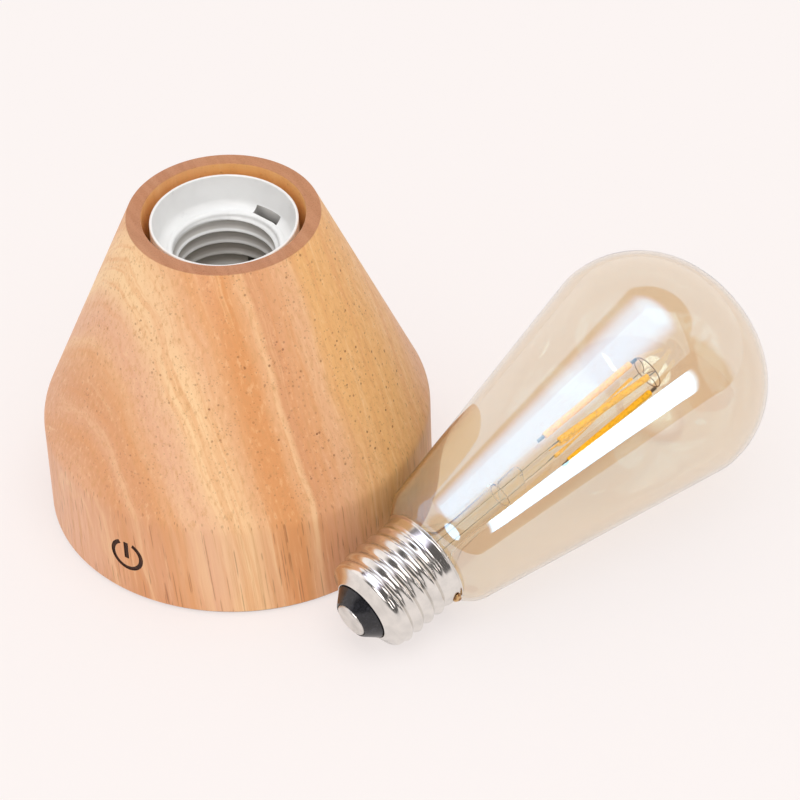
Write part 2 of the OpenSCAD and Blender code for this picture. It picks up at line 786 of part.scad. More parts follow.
module charging_leads() {
    start_y = cavity_r - 3.5;
    start_z = charge_board_z + charge_board_t + lead_r;
    color("tomato") for (x = [-2, 2])
        tube([[x, start_y, start_z], [x, start_y - 3.5, start_z + 1.5],
            [x * 1.5, 28, board_z - 4], [x * 1.5, 26, board_top + 3],
            [x * 1.2, 22, board_top + 3.6], [x, post_y + 3.3 - lead_r, board_top + lead_r]], lead_r);
}

// ---------- bulb ----------

module glass_envelope() {
    inner = glass_line(glass_t);
    color([0.9, 0.75, 0.5, 0.4]) in_bulb() rotate_extrude() polygon(concat(glass_line(0),
        [for (i = [len(inner) - 1:-1:0]) inner[i]]));
}

// glass foot that flares to the neck, with a flat press, a pumping tube and a thin rod
module glass_stem() {
    flare_z = neck_z + 0.4;
    color([0.95, 0.95, 0.95, 0.5]) in_bulb() {
        rotate_extrude() polygon([[2.6, flare_z + 8], [5, flare_z + 5],
            [neck_r - glass_t - 0.1, flare_z], [neck_r - glass_t - 0.1, flare_z + 1],
            [6, flare_z + 6.5], [4.2, flare_z + 12], [4.2, press_z], [2.6, press_z]]);
        difference() {
            translate([0, 0, press_z]) bar(9, 3.6, press_top - press_z);
            for (x = [-wire_x, wire_x]) translate([x, 0, press_z - eps])
                cylinder(r = wire_r + 0.02, h = press_top - press_z + 2 * eps);
        }
        translate([0, 0, press_top]) cylinder(r = rod_r, h = filament_z + filament_l - press_top + 2);
        translate([0, 0, driver_z + driver_h + 4]) cylinder(r = 1.6, h = press_z - 20);
    }
}

module screw_shell() {
    outer = shell_line(0);
    inner = shell_line(skin_t);
    color("silver") in_bulb() rotate_extrude() polygon(concat(outer,
        [[lip_r, cap_l - 0.3], [lip_r, cap_l], [skirt_r - skin_t, cap_l]],
        [for (i = [len(inner) - 1:-1:0]) inner[i]]));
}

module cap_insulator() {
    color("black") in_bulb() rotate_extrude() polygon([[1.6, 0.9], [tip_r, 0.9], [tip_r, 0.4],
        [shell_foot_r - 0.2, shell_foot_z - 0.2], [shell_foot_r - skin_t - 0.05, shell_foot_z],
        [shell_foot_r + 0.3, shell_foot_z + 1.2], [6, shell_foot_z + 1.6], [1.6, shell_foot_z - 0.6]]);
}

module cap_contact() {
    color("silver") in_bulb() rotate_extrude() polygon(concat([[0, 0], [3.4, 0]],
        arc([3.4, 0.7], 0.7, -90, -40, 3),
        [[tip_r - 0.05, 0.85], [1.5, 0.85], [1.5, 4.5], [0, 4.5]]));
}

module cap_cement() {
    outer = skirt_r - skin_t - bond_r;
    color("linen") in_bulb() rotate_extrude() polygon([[neck_r + bond_r, neck_z],
        [outer, neck_z], [outer, cap_l - 0.8], [neck_r + bond_r, cap_l - 0.8]]);
}

module rim_solder() {
    dab_r = 1.1;
    below_lip = 0.75;
    color("darkgoldenrod") in_bulb() rotate([0, 0, solder_a]) difference() {
        translate([skirt_r, 0, cap_l - below_lip - dab_r * 0.6]) sphere(r = dab_r);
        cylinder(r = skirt_r + bond_r, h = cap_l + 1);
        translate([0, 0, cap_l - below_lip]) cylinder(r = lip_r + 2, h = 2);
    }
}

function filament_end(i, z) = let (a = filament_phase + 360 * i / filament_n
    + filament_twist * (z - filament_z) / filament_l)
    [filament_r * cos(a), filament_r * sin(a), z];

module light_filaments() {
    color("orange") in_bulb() for (i = [0:filament_n - 1]) {
        low = filament_end(i, filament_z);
        high = filament_end(i, filament_z + filament_l);
        v = high - low;
        translate(low) rotate([0, acos(v[2] / norm(v)), atan2(v[1], v[0])])
            cylinder(r = filament_d / 2, h = norm(v));
    }
}

module lead_in_wires() {
    color("dimgray") in_bulb() for (side = [-1, 1])
        tube([[side * wire_x, 0, driver_z + driver_h + 0.1], [side * wire_x, 0, 34],
            [side * wire_x, 0, press_z], [side * wire_x, 0, press_top],
            [side * wire_x, 0, press_top + 1.5],
            filament_end(side > 0 ? 0 : filament_n / 2, filament_z - 3),
            filament_end(side > 0 ? 0 : filament_n / 2, filament_z - 0.1)], wire_r, sides = 6);
}

// wire rings that join the filaments' ends, with spokes to the rod
module support_wires() {
    top_z = filament_z + filament_l + ring_wire_r + 0.1;
    spoke_r = 0.2;
    color("dimgray") in_bulb() {
        translate([0, 0, top_z]) rotate_extrude() translate([filament_r, 0]) circle(r = ring_wire_r);
        for (a = [0:90:270]) rotate([0, 0, filament_phase + filament_twist + a])
            translate([rod_r + 0.02, 0, top_z]) rotate([0, 90, 0])
                cylinder(r = spoke_r, h = filament_r - rod_r);
    }
}

module driver_board() {
    color("darkgreen") in_bulb() translate([-7.5, -0.5, driver_z]) cube([15, 1, driver_h]);
}

module driver_parts() {
    color("slategray") in_bulb() {
        translate([0, 0.5, driver_z + 5.5]) rotate([-90, 0, 0]) cylinder(r = 3, h = 6.5);
        translate([-6, 0.5, driver_z + 1]) cube([2.6, 1.4, 4]);
        translate([-6, -2, driver_z + 3]) cube([4.8, 1.5, 3.8]);
        translate([1, -2.4, driver_z + 6]) cube([4, 1.9, 3]);
    }
}

module driver_leads() {
    color("red") in_bulb() {
        tube([[0, -1, driver_z + 0.8], [0, -1.2, driver_z - 1.2], [0, -0.4, 5.6], [0, 0, 4.9]], 0.35,
            sides = 6);
        tube([[6.5, -0.9, driver_z + 9], [8.5, -2, driver_z + 11], [9.8, -3, driver_z + 12.5],
            [10.6, -3.6, driver_z + 13.4]], 0.35, sides = 6);
    }
}

wood_body();
foot_pad();
bottom_cover();
cover_screws();
lampholder_shell();
contact_carrier();
centre_terminal();
centre_tongue();
side_terminal();
side_tongue();
terminal_screws();
mounting_bracket();
bracket_screws();
lampholder_screws();
live_lead();
neutral_lead();
touch_plate();
touch_lead();
control_board();
board_screws();
touch_chip();
boost_inductor();
board_capacitors();
lead_connectors();
battery_cell();
battery_holder();
battery_contacts();
holder_screws();
battery_plus_lead();
battery_minus_lead();
charging_bezel();
charging_socket();
charging_board();
charging_leads();
glass_envelope();
glass_stem();
screw_shell();
cap_insulator();
cap_contact();
cap_cement();
rim_solder();
lead_in_wires();
support_wires();
light_filaments();
driver_board();
driver_parts();
driver_leads();
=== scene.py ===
"""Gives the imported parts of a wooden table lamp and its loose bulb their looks, in metres."""

import json
import math

import bmesh
import bpy
from bpy.props import FloatProperty, FloatVectorProperty, IntProperty, PointerProperty
from mathutils import Matrix, Vector


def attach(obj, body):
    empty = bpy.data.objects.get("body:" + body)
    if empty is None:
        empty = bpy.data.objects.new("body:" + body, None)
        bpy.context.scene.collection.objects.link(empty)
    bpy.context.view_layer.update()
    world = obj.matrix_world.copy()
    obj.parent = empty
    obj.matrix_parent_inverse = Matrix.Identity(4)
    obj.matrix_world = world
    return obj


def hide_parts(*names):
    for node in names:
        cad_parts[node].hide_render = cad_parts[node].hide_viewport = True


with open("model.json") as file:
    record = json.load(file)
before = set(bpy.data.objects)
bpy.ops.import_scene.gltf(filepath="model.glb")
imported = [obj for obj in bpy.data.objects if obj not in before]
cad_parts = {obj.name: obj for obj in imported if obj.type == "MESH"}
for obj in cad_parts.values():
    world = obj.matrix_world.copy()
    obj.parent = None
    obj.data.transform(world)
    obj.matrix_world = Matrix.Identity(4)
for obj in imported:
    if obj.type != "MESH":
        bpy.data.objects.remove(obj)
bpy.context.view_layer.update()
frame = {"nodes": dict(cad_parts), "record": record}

bl_info = {
    "name": "Bare bulb table lamp",
    "version": (1, 0, 0),
    "blender": (4, 5, 0),
    "location": "View3D > Sidebar > Lamp",
    "description": "Adds the looks of a turned wooden lamp and its loose bulb to their packed parts",
    "category": "Object",
}

MM = 0.001
TURN = 2 * math.pi
UP = Vector((0, 0, 1))


# ---------- settings ----------


def srgb(red, green, blue):
    """A colour as it shows on a screen, 0 to 255, as the linear values that shaders mix."""
    return tuple(
        v / 12.92 if v <= 0.04045 else ((v + 0.055) / 1.055) ** 2.4
        for v in (red / 255, green / 255, blue / 255)
    )


def length(name, description, millimetres):
    """A property that holds a length, given here in millimetres."""
    return FloatProperty(
        name=name,
        description=description,
        default=millimetres * MM,
        min=0,
        precision=5,
        subtype="DISTANCE",
        unit="LENGTH",
    )


def angle(name, description, degrees):
    """A property that holds an angle, given here in degrees."""
    return FloatProperty(
        name=name,
        description=description,
        default=math.radians(degrees),
        subtype="ANGLE",
        unit="ROTATION",
    )


def colour(name, description, value):
    """A property that holds a colour."""
    return FloatVectorProperty(
        name=name,
        description=description,
        default=value,
        size=3,
        min=0,
        max=1,
        subtype="COLOR",
    )


class WoodSettings(bpy.types.PropertyGroup):
    """Sizes and colours of the turned body and its foot."""

    body_r: length("Band radius", "Radius of the straight band at the foot", 50)
    body_h: length("Height", "Height of the rim above the table", 90)
    band_h: length("Band height", "Height at which the band turns into the cone", 28.5)
    knee_r: length("Knee radius", "Radius that rounds the turn from band to cone", 8)
    rim_r: length("Rim radius", "Outer radius of the flat rim", 24.2)
    bore_r: length("Bore radius", "Radius of the hole in the rim", 20.5)
    cavity_r: length("Cavity radius", "Radius of the hollow inside the band", 38)
    ledge_r: length("Ledge radius", "Outer radius of the ledge round the bore", 28)
    ledge_z: length("Ledge height", "Height of the ledge above the table", 60)
    pad_t: length("Pad thickness", "Thickness of the foot pad", 1)
    pad_r: length("Pad radius", "Radius of the foot pad", 49)
    cover_z: length("Cover seat", "Height of the rebate for the bottom cover", 4)
    cover_r: length("Cover radius", "Radius of the rebate for the bottom cover", 45)
    symbol_z: length("Symbol height", "Height of the touch symbol's centre", 14)
    symbol_r: length("Symbol radius", "Outer radius of the symbol's ring", 4.9)
    symbol_w: length("Symbol stroke", "Width of the symbol's stroke", 1.2)
    symbol_depth: length("Symbol depth", "Depth that the symbol is burnt in", 0.3)
    inlet_z: length("Inlet height", "Height of the charging socket's centre", 14)
    inlet_w: length("Inlet width", "Width of the slot for the charging bezel", 15)
    inlet_h: length("Inlet slot height", "Height of the slot for the charging bezel", 9)
    pale: colour("Pale wood", "Colour of the palest layers", srgb(253, 211, 160))
    warm: colour("Warm wood", "Colour of the common layers", srgb(237, 180, 131))
    tan: colour("Tan wood", "Colour of the tan layers", srgb(226, 161, 114))
    orange: colour("Orange wood", "Colour of the orange layers", srgb(229, 158, 99))
    pink: colour("Pink wood", "Colour of the pinkish layers", srgb(236, 180, 143))
    deep: colour("Deep wood", "Colour of the darkest layers", srgb(216, 157, 101))
    # Partly painted light: a yellow wood tone, kept lighter to offset the shade on the body's
    # back-right side.
    gold_lightened: colour("Golden wood", "Colour of the yellow layers", srgb(240, 182, 116))
    pore: colour("Pores", "Colour of the open pores", srgb(142, 78, 34))
    bore: colour("Bore", "Colour of the wood inside the bore", srgb(240, 174, 104))
    end_grain: colour("End grain", "Colour of the rim's end grain", srgb(190, 130, 96))
    burnt: colour("Burnt wood", "Colour of the burnt symbol", srgb(58, 32, 20))


class HolderSettings(bpy.types.PropertyGroup):
    """Sizes and colour of the lampholder."""

    collar_r: length("Collar radius", "Outer radius of the collar", 18.6)
    collar_t: length("Collar wall", "Thickness of the collar's wall", 1.1)
    collar_z: length("Collar height", "Height of the collar's lip above the table", 88.1)
    mouth_z: length("Mouth height", "Height of the thread's mouth above the table", 79.8)
    minor_r: length("Thread crest radius", "Radius of the thread's crests", 12.25)
    major_r: length("Thread root radius", "Radius of the thread's roots", 13.3)
    tube_r: length("Tube radius", "Outer radius of the threaded tube", 15.6)
    first_crest: length("First crest", "Height of the first crest above the table", 77.2)
    foot_z: length("Tube foot", "Height of the tube's lower end", 50)
    latch_w: length("Latch width", "Width of the latch slot", 7.8)
    latch_top: length("Latch top", "Height of the latch slot's top above the mouth", 1)
    latch_side: angle("Latch side", "Direction in which the latch slot lies", 83)
    white: colour("White plastic", "Colour of the lampholder", srgb(250, 250, 249))


class BulbSettings(bpy.types.PropertyGroup):
    """Sizes and colours of the bulb."""

    pitch: length("Pitch", "Distance between the thread's crests", 3.629)
    turns: IntProperty(name="Turns", description="Turns of the cap's thread", default=4)
    first_crest: length("First crest", "Distance of the first crest from the tip", 9.6)
    crest_r: length("Crest radius", "Radius of the cap's crests", 13.1)
    root_r: length("Root radius", "Radius of the cap's roots", 12.05)
    cap_l: length("Cap length", "Length of the screw cap", 26.2)
    skirt_r: length("Skirt radius", "Radius of the cap's plain skirt", 12.9)
    lip_r: length("Lip radius", "Radius of the cap's lip", 13.6)
    tip_r: length("Tip radius", "Radius of the contact at the tip", 4.75)
    foot_r: length("Foot radius", "Radius of the cap's narrow end", 8.3)
    foot_z: length("Foot", "Distance of the cap's narrow end from the tip", 4)
    neck_r: length("Neck radius", "Radius of the glass neck in the cap", 12.3)
    neck_z: length("Neck", "Distance of the neck's lower edge from the tip", 23.2)
    shoulder_r: length("Shoulder radius", "Radius of the glass above its shoulder", 17.6)
    shoulder_z: length("Shoulder", "Distance of the shoulder from the tip", 32.6)
    shoulder_arc: length("Shoulder rounding", "Radius that rounds the shoulder", 8.6)
    belly_r: length("Belly radius", "Largest radius of the glass", 32)
    belly_z: length("Belly", "Distance of the largest radius from the tip", 107)
    flank_arc: length("Flank rounding", "Radius between cone and belly", 16)
    crown_arc: length("Crown radius", "Radius of the crown", 52)
    bulb_l: length("Length", "Length from the tip to the crown", 133)
    glass_t: length("Glass thickness", "Thickness of the glass", 0.8)
    filament_z: length("Filament foot", "Distance of the filaments' lower ends from the tip", 70)
    filament_l: length("Filament length", "Length of a light filament", 35)
    filament_r: length("Filament circle", "Distance of the filaments from the axis", 4.6)
    filament_d: length("Filament thickness", "Diameter of a light filament", 1.8)
    filament_n: IntProperty(name="Filaments", description="Number of filaments", default=4)
    filament_turn: angle("Filament turn", "Direction of the first filament's foot", 20)
    filament_twist: angle("Filament twist", "How far a filament winds round the axis", 30)
    wire_r: length("Wire radius", "Radius of the lead-in wires and the ring", 0.13)
    amber: colour("Amber glass", "Colour that light takes on in the glass", (0.90, 0.83, 0.71))
    lustre: colour("Glass lustre", "Colour of what the glass reflects", (0.28, 0.64, 1.0))
    refraction: FloatProperty(
        name="Refraction", description="Index that sets how much the glass mirrors", default=2.15
    )
    nickel: colour("Cap metal", "Colour of the cap's plating", srgb(232, 229, 224))
    insulator: colour("Insulator", "Colour of the black glass in the cap", srgb(30, 30, 34))
    glow: colour("Filament coating", "Colour of the unlit filaments", srgb(255, 204, 6))


class StageSettings(bpy.types.PropertyGroup):
    """The camera, the floor, the lamp overhead and the windows that the glass reflects."""

    lens: FloatProperty(
        name="Focal length", description="Focal length of the camera, in mm", default=162.13
    )
    distance: length("Distance", "How far the camera stands from the lamp's axis", 706.745)
    height: length("Camera height", "Height of the camera above the table", 637.799)
    round: angle("Direction", "How far the camera stands round the lamp", 37.8)
    pan: angle("Pan", "How far the camera turns to the right", 3.417)
    tip: angle("Tip", "How far the camera looks down", 40.889)
    roll: angle("Roll", "How far the camera leans", -1.962)
    window: FloatProperty(
        name="Window", description="Brightness of the soft window in reflections", default=2.7
    )
    strip: FloatProperty(
        name="Strip", description="Brightness of the narrow window in reflections", default=8.0
    )
    lamp_side: angle("Lamp direction", "Direction in which the lamp hangs", -50)
    lamp_rise: angle("Lamp rise", "How high the lamp hangs above the level", 70)
    lamp_far: length("Lamp distance", "How far the lamp hangs from the object", 2200)
    lamp_size: length("Lamp size", "Width of the square lamp", 2000)
    lamp_light: FloatProperty(
        name="Lamp light", description="Brightness of the lamp's surface", default=1.56
    )
    floor: colour("Floor", "Colour of the floor", srgb(252, 245, 243))


def settings():
    """The lamp's settings in the open scene."""
    return bpy.context.scene.lamp


# ---------- shader maths ----------


class Signal:
    """One output of a node. Its operators add Math nodes."""

    def __init__(self, shader, socket):
        self.shader = shader
        self.socket = socket

    def math(self, operation, *others, flip=False):
        values = (*others, self) if flip else (self, *others)
        return self.shader.add("ShaderNodeMath", {"operation": operation}, dict(enumerate(values)))

    def __add__(self, other):
        return self.math("ADD", other)

    def __sub__(self, other):
        return self.math("SUBTRACT", other)

    def __rsub__(self, other):
        return self.math("SUBTRACT", other, flip=True)

    def __mul__(self, other):
        return self.math("MULTIPLY", other)

    __radd__ = __add__
    __rmul__ = __mul__

    def step(self, low, high, start=0.0, end=1.0):
        """Rises smoothly from start to end as the signal goes from low to high."""
        return self.shader.add(
            "ShaderNodeMapRange",
            {"interpolation_type": "SMOOTHSTEP"},
            {0: self, 1: low, 2: high, 3: start, 4: end},
        )


class Shader:
    """A node tree in the making."""

    def __init__(self, tree):
        self.tree = tree
        tree.nodes.clear()

    def node(self, kind, options=None, sockets=None):
        """Adds a node, sets its options, then fills its sockets with values or signals."""
        node = self.tree.nodes.new(kind)
        for key, value in (options or {}).items():
            if key == "stops":
                ramp = node.color_ramp.elements
                while len(ramp) < len(value):
                    ramp.new(1)
                for element, (place, shade) in zip(ramp, value):
                    element.position = place
                    element.color = (*shade, 1)
            else:
                setattr(node, key, value)
        for key, value in (sockets or {}).items():
            socket = node.inputs[key]
            if isinstance(value, Signal):
                self.tree.links.new(value.socket, socket)
            elif socket.type == "RGBA" and len(value) == 3:
                socket.default_value = (*value, 1)
            else:
                socket.default_value = value
        return node

    def add(self, kind, options=None, sockets=None, output=0):
        """Adds a node and gives one of its outputs."""
        return Signal(self, self.node(kind, options, sockets).outputs[output])

    def mix(self, factor, first, second):
        return self.add(
            "ShaderNodeMix", {"data_type": "RGBA"}, {0: factor, 6: first, 7: second}, 2
        )

    def place(self):
        """Object coordinates, in metres."""
        return self.add("ShaderNodeTexCoord", output=3)

    def split(self, vector):
        node = self.node("ShaderNodeSeparateXYZ", sockets={0: vector})
        return [Signal(self, out) for out in node.outputs]

    def join(self, x, y, z):
        return self.add("ShaderNodeCombineXYZ", sockets={0: x, 1: y, 2: z})

    def stretch(self, vector, x, y, z):
        return self.add(
            "ShaderNodeVectorMath", {"operation": "MULTIPLY"}, {0: vector, 1: (x, y, z)}
        )

    def reach(self, x, y):
        """Distance from the upright axis."""
        return self.add("ShaderNodeVectorMath", {"operation": "LENGTH"}, {0: self.join(x, y, 0)}, 1)

    def ray(self, kind):
        """1 for the rays of a kind, and 0 for others."""
        return self.add("ShaderNodeLightPath", output=f"Is {kind} Ray")

    def noise(self, vector, scale=1.0, detail=2.0, rough=0.5, warp=0.0):
        return self.add(
            "ShaderNodeTexNoise",
            sockets={
                "Vector": vector,
                "Scale": scale,
                "Detail": detail,
                "Roughness": rough,
                "Distortion": warp,
            },
        )

    def cells(self, vector, scale=1.0, feature="F1", output=0, plane=False):
        """Voronoi cells; in a plane they read only the vector's x and y."""
        kind = {"feature": feature, "voronoi_dimensions": "2D" if plane else "3D"}
        return self.add("ShaderNodeTexVoronoi", kind, {"Vector": vector, "Scale": scale}, output)

    def ramp(self, factor, stops):
        return self.add("ShaderNodeValToRGB", {"stops": stops}, {0: factor})

    def bump(self, height, distance, strength=1.0):
        return self.add(
            "ShaderNodeBump", sockets={"Height": height, "Distance": distance, "Strength": strength}
        )

    def principled(self, **sockets):
        names = {
            key.replace("_", " ").title().replace("Ior", "IOR"): value
            for key, value in sockets.items()
        }
        return self.add("ShaderNodeBsdfPrincipled", sockets=names)

    def finish(self, surface, kind="ShaderNodeOutputMaterial"):
        self.node(kind, sockets={"Surface": surface})

    def coat(self, **sockets):
        """Ends the tree in one Principled node with these sockets."""
        self.finish(self.principled(**sockets))


def new_finish(name):
    """A new material with an empty node tree."""
    material = bpy.data.materials.new(name)
    material.use_nodes = True
    return material, Shader(material.node_tree)


def shaded(tint, factor):
    """A colour made darker by a factor."""
    return [part * factor for part in tint]


# ---------- modelling ----------


def deselect():
    bpy.ops.object.select_all(action="DESELECT")


def pick(piece):
    """Selects this piece alone and makes it active."""
    deselect()
    piece.select_set(True)
    bpy.context.view_layer.objects.active = piece


def edit(piece):
    """Picks a piece and opens its mesh, all of it selected."""
    pick(piece)
    bpy.ops.object.mode_set(mode="EDIT")
    bpy.ops.mesh.select_all(action="SELECT")


def close(gap=0):
    """Merges points that are nearer than the gap, turns all faces outwards and closes the mesh."""
    bpy.ops.mesh.select_all(action="SELECT")
    if gap:
        bpy.ops.mesh.remove_doubles(threshold=gap)
    bpy.ops.mesh.normals_make_consistent(inside=False)
    bpy.ops.object.mode_set(mode="OBJECT")


def name_piece(piece, name):
    piece.name = name
    piece.data.name = name


def arc(centre, radius, start, end, count):
    """Points of an arc, its angles in degrees."""
    turns = [math.radians(start + (end - start) * i / count) for i in range(count + 1)]
    return [
        (centre[0] + radius * math.cos(turn), centre[1] + radius * math.sin(turn)) for turn in turns
    ]


def turned(name, outline, steps=128, crease=35):
    """Spins an outline of (radius, height) points round Z and closes its seam and poles."""
    deselect()
    bpy.ops.mesh.primitive_plane_add(size=MM)
    piece = bpy.context.object
    name_piece(piece, name)
    edit(piece)
    bpy.ops.mesh.merge(type="CENTER")
    bpy.ops.transform.translate(value=(outline[0][0], 0, outline[0][1]))
    for (r0, z0), (r1, z1) in zip(outline, outline[1:]):
        bpy.ops.mesh.extrude_vertices_move(TRANSFORM_OT_translate={"value": (r1 - r0, 0, z1 - z0)})
    bpy.ops.mesh.select_all(action="SELECT")
    bpy.ops.mesh.spin(steps=steps, angle=TURN, center=(0, 0, 0), axis=(0, 0, 1))
    close(0.002 * MM)
    smooth(piece, crease)
    return piece


def smooth(piece, crease=35):
    """Shades a piece smooth, but for edges sharper than the crease in degrees."""
    pick(piece)
    bpy.ops.object.shade_smooth_by_angle(angle=math.radians(crease))


def settle(piece, matrix=None):
    """Puts a piece at its place and moves that place into its mesh."""
    if matrix is not None:
        piece.matrix_world = matrix
    pick(piece)
    bpy.ops.object.transform_apply(location=True, rotation=True, scale=True)


def apply_modifier(piece, kind, **options):
    """Adds a modifier with these options and applies it."""
    pick(piece)
    modifier = piece.modifiers.new(kind.title(), kind)
    for key, value in options.items():
        setattr(modifier, key, value)
    bpy.ops.object.modifier_apply(modifier=modifier.name)


def cut(piece, tool):
    """Takes the tool's shape out of the piece and removes the tool."""
    apply_modifier(piece, "BOOLEAN", operation="DIFFERENCE", solver="EXACT", object=tool)
    bpy.data.objects.remove(tool)


def joined(pieces, name):
    """Makes several objects into one."""
    deselect()
    for piece in pieces:
        piece.select_set(True)
    bpy.context.view_layer.objects.active = pieces[0]
    bpy.ops.object.join()
    name_piece(bpy.context.object, name)
    return bpy.context.object


def block(name, low, high, bevel=0, segments=3):
    """A box between two corners, its edges rounded where a bevel is given."""
    deselect()
    centre = [(a + b) / 2 for a, b in zip(low, high)]
    bpy.ops.mesh.primitive_cube_add(size=1, location=centre)
    piece = bpy.context.object
    name_piece(piece, name)
    piece.scale = [b - a for a, b in zip(low, high)]
    settle(piece)
    if bevel:
        apply_modifier(piece, "BEVEL", width=bevel, segments=segments, limit_method="ANGLE")
    smooth(piece)
    return piece


def wire(name, points, radius, sides=10, detail=6):
    """A round wire along a smooth curve through the points."""
    deselect()
    bpy.ops.curve.primitive_bezier_curve_add()
    piece = bpy.context.object
    name_piece(piece, name)
    curve = piece.data
    spline = curve.splines[0]
    spline.bezier_points.add(len(points) - len(spline.bezier_points))
    for knot, point in zip(spline.bezier_points, points):
        knot.co = point
        knot.handle_left_type = knot.handle_right_type = "AUTO"
    piece.location = (0, 0, 0)
    curve.bevel_depth = radius
    curve.bevel_resolution = max(0, sides // 2 - 2)
    curve.resolution_u = detail
    curve.use_fill_caps = True
    bpy.ops.object.convert(target="MESH")
    piece = bpy.context.object
    edit(piece)
    close(0.0005 * MM)
    smooth(piece, 60)
    return piece


def relief(piece, low, high, shift):
    """Moves each point between two heights outwards by shift(height, angle, radius)."""
    for vertex in piece.data.vertices:
        x, y, z = vertex.co
        if low < z < high:
            radius = math.hypot(x, y)
            grown = (radius + shift(z, math.atan2(y, x), radius)) / radius
            vertex.co.x, vertex.co.y = x * grown, y * grown
    piece.data.update()


def crest(z, turn, first, pitch):
    """Height of a thread's wave, from -1 in a root to 1 on a crest."""
    return math.cos(TURN * ((z - first) / pitch - turn / TURN))


def ease(low, high, value):
    """0 below low, 1 above high, and smooth between."""
    t = min(1, max(0, (value - low) / (high - low)))
    return t * t * (3 - 2 * t)


def dress(piece, material, body, replaces=()):
    """Gives a piece its material, its body and the parts that it stands for."""
    if material:
        piece.data.materials.clear()
        piece.data.materials.append(material)
    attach(piece, body)
    if replaces:
        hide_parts(*replaces)


# ---------- where the bulb lies ----------


def bulb_frame():
    """The bulb's own axes: Z from the contact tip to the crown, taken from its cap mount."""
    bulb = settings().bulb
    mount = next(m for m in frame["record"]["mounts"] if m["name"] == "bulb_cap")
    along = -Vector(mount["axis"]).normalized()
    middle = bulb.first_crest + bulb.pitch * (bulb.turns - 1) / 2
    tip = Vector(mount["pos_m"]) - along * middle
    lie = math.atan2(along.y, along.x)
    lean = math.acos(along.z)
    return Matrix.Translation(tip) @ Matrix.Rotation(lie, 4, "Z") @ Matrix.Rotation(lean, 4, "Y")


def bulb_place(shader):
    """Object coordinates turned into the bulb's own axes."""
    spot, turn, _ = bulb_frame().decompose()
    return shader.add(
        "ShaderNodeMapping",
        {"vector_type": "TEXTURE"},
        {"Vector": shader.place(), "Location": spot, "Rotation": turn.to_euler()},
    )


# ---------- materials ----------


def growth_layers(s, layer):
    """Colours of the growth layers, from the front left of the body to its back right; the golden
    back-right layers are partly the wood's yellow tone and partly painted light that lightens the
    side in the bulb's shade.
    """
    wood = settings().wood
    cream = [(a + b) / 2 for a, b in zip(wood.warm, wood.pale)]
    left = [(0.00, wood.pink), (0.06, wood.tan), (0.12, wood.tan), (0.17, wood.warm)]
    front = [(0.20, wood.pink), (0.25, wood.pale), (0.30, wood.pale), (0.34, wood.warm)]
    middle = [(0.39, wood.orange), (0.43, wood.orange), (0.455, wood.warm), (0.468, cream)]
    right = [(0.484, wood.tan), (0.50, wood.tan), (0.58, wood.warm)]
    # Partly painted light: the golden stops are the wood's yellow tone, lightened to offset the
    # shade on the back-right side.
    back = [(0.64 + 0.08 * i, wood.gold_lightened) for i in range(4)] + [(0.93, wood.warm), (1.00, wood.tan)]
    return s.ramp(layer * 10 + 0.5, left + front + middle + right + back)


def open_pores(s, spot, leaning, cut, crowd):
    """The open pores and the dust of finer ones: dots where cut is 1, upright dashes where 0."""
    chance = s.split(s.cells(spot, 520, output=1))[0].step(0.10, 0.70)
    dots = s.cells(spot, 520).step(0.11, 0.22, 1, 0) * chance
    freckles = s.cells(spot, 1100).step(0.16, 0.32, 1, 0)
    freckles = freckles * s.split(s.cells(spot, 1250, output=1))[0].step(0.2, 0.9)
    dashes = s.noise(s.stretch(spot, 420, 420, 130), detail=2).step(0.48, 0.56)
    bunch = s.noise(s.stretch(spot, 90, 90, 12), detail=2).step(0.42, 0.60, 0.15, 1)
    tubes = s.cells(leaning, 430, plane=True).step(0.05, 0.12, 1, 0) * dashes * bunch
    hairs = s.cells(leaning, 1100, plane=True).step(0.10, 0.24, 1, 0)
    hairs = hairs * s.noise(s.stretch(spot, 900, 900, 110), detail=2).step(0.46, 0.58)
    pores = cut * dots * crowd + (1 - cut) * tubes * 0.62
    dust = cut * freckles * crowd.step(0.1, 0.9, 0.5, 1) + (1 - cut) * hairs
    return pores, dust


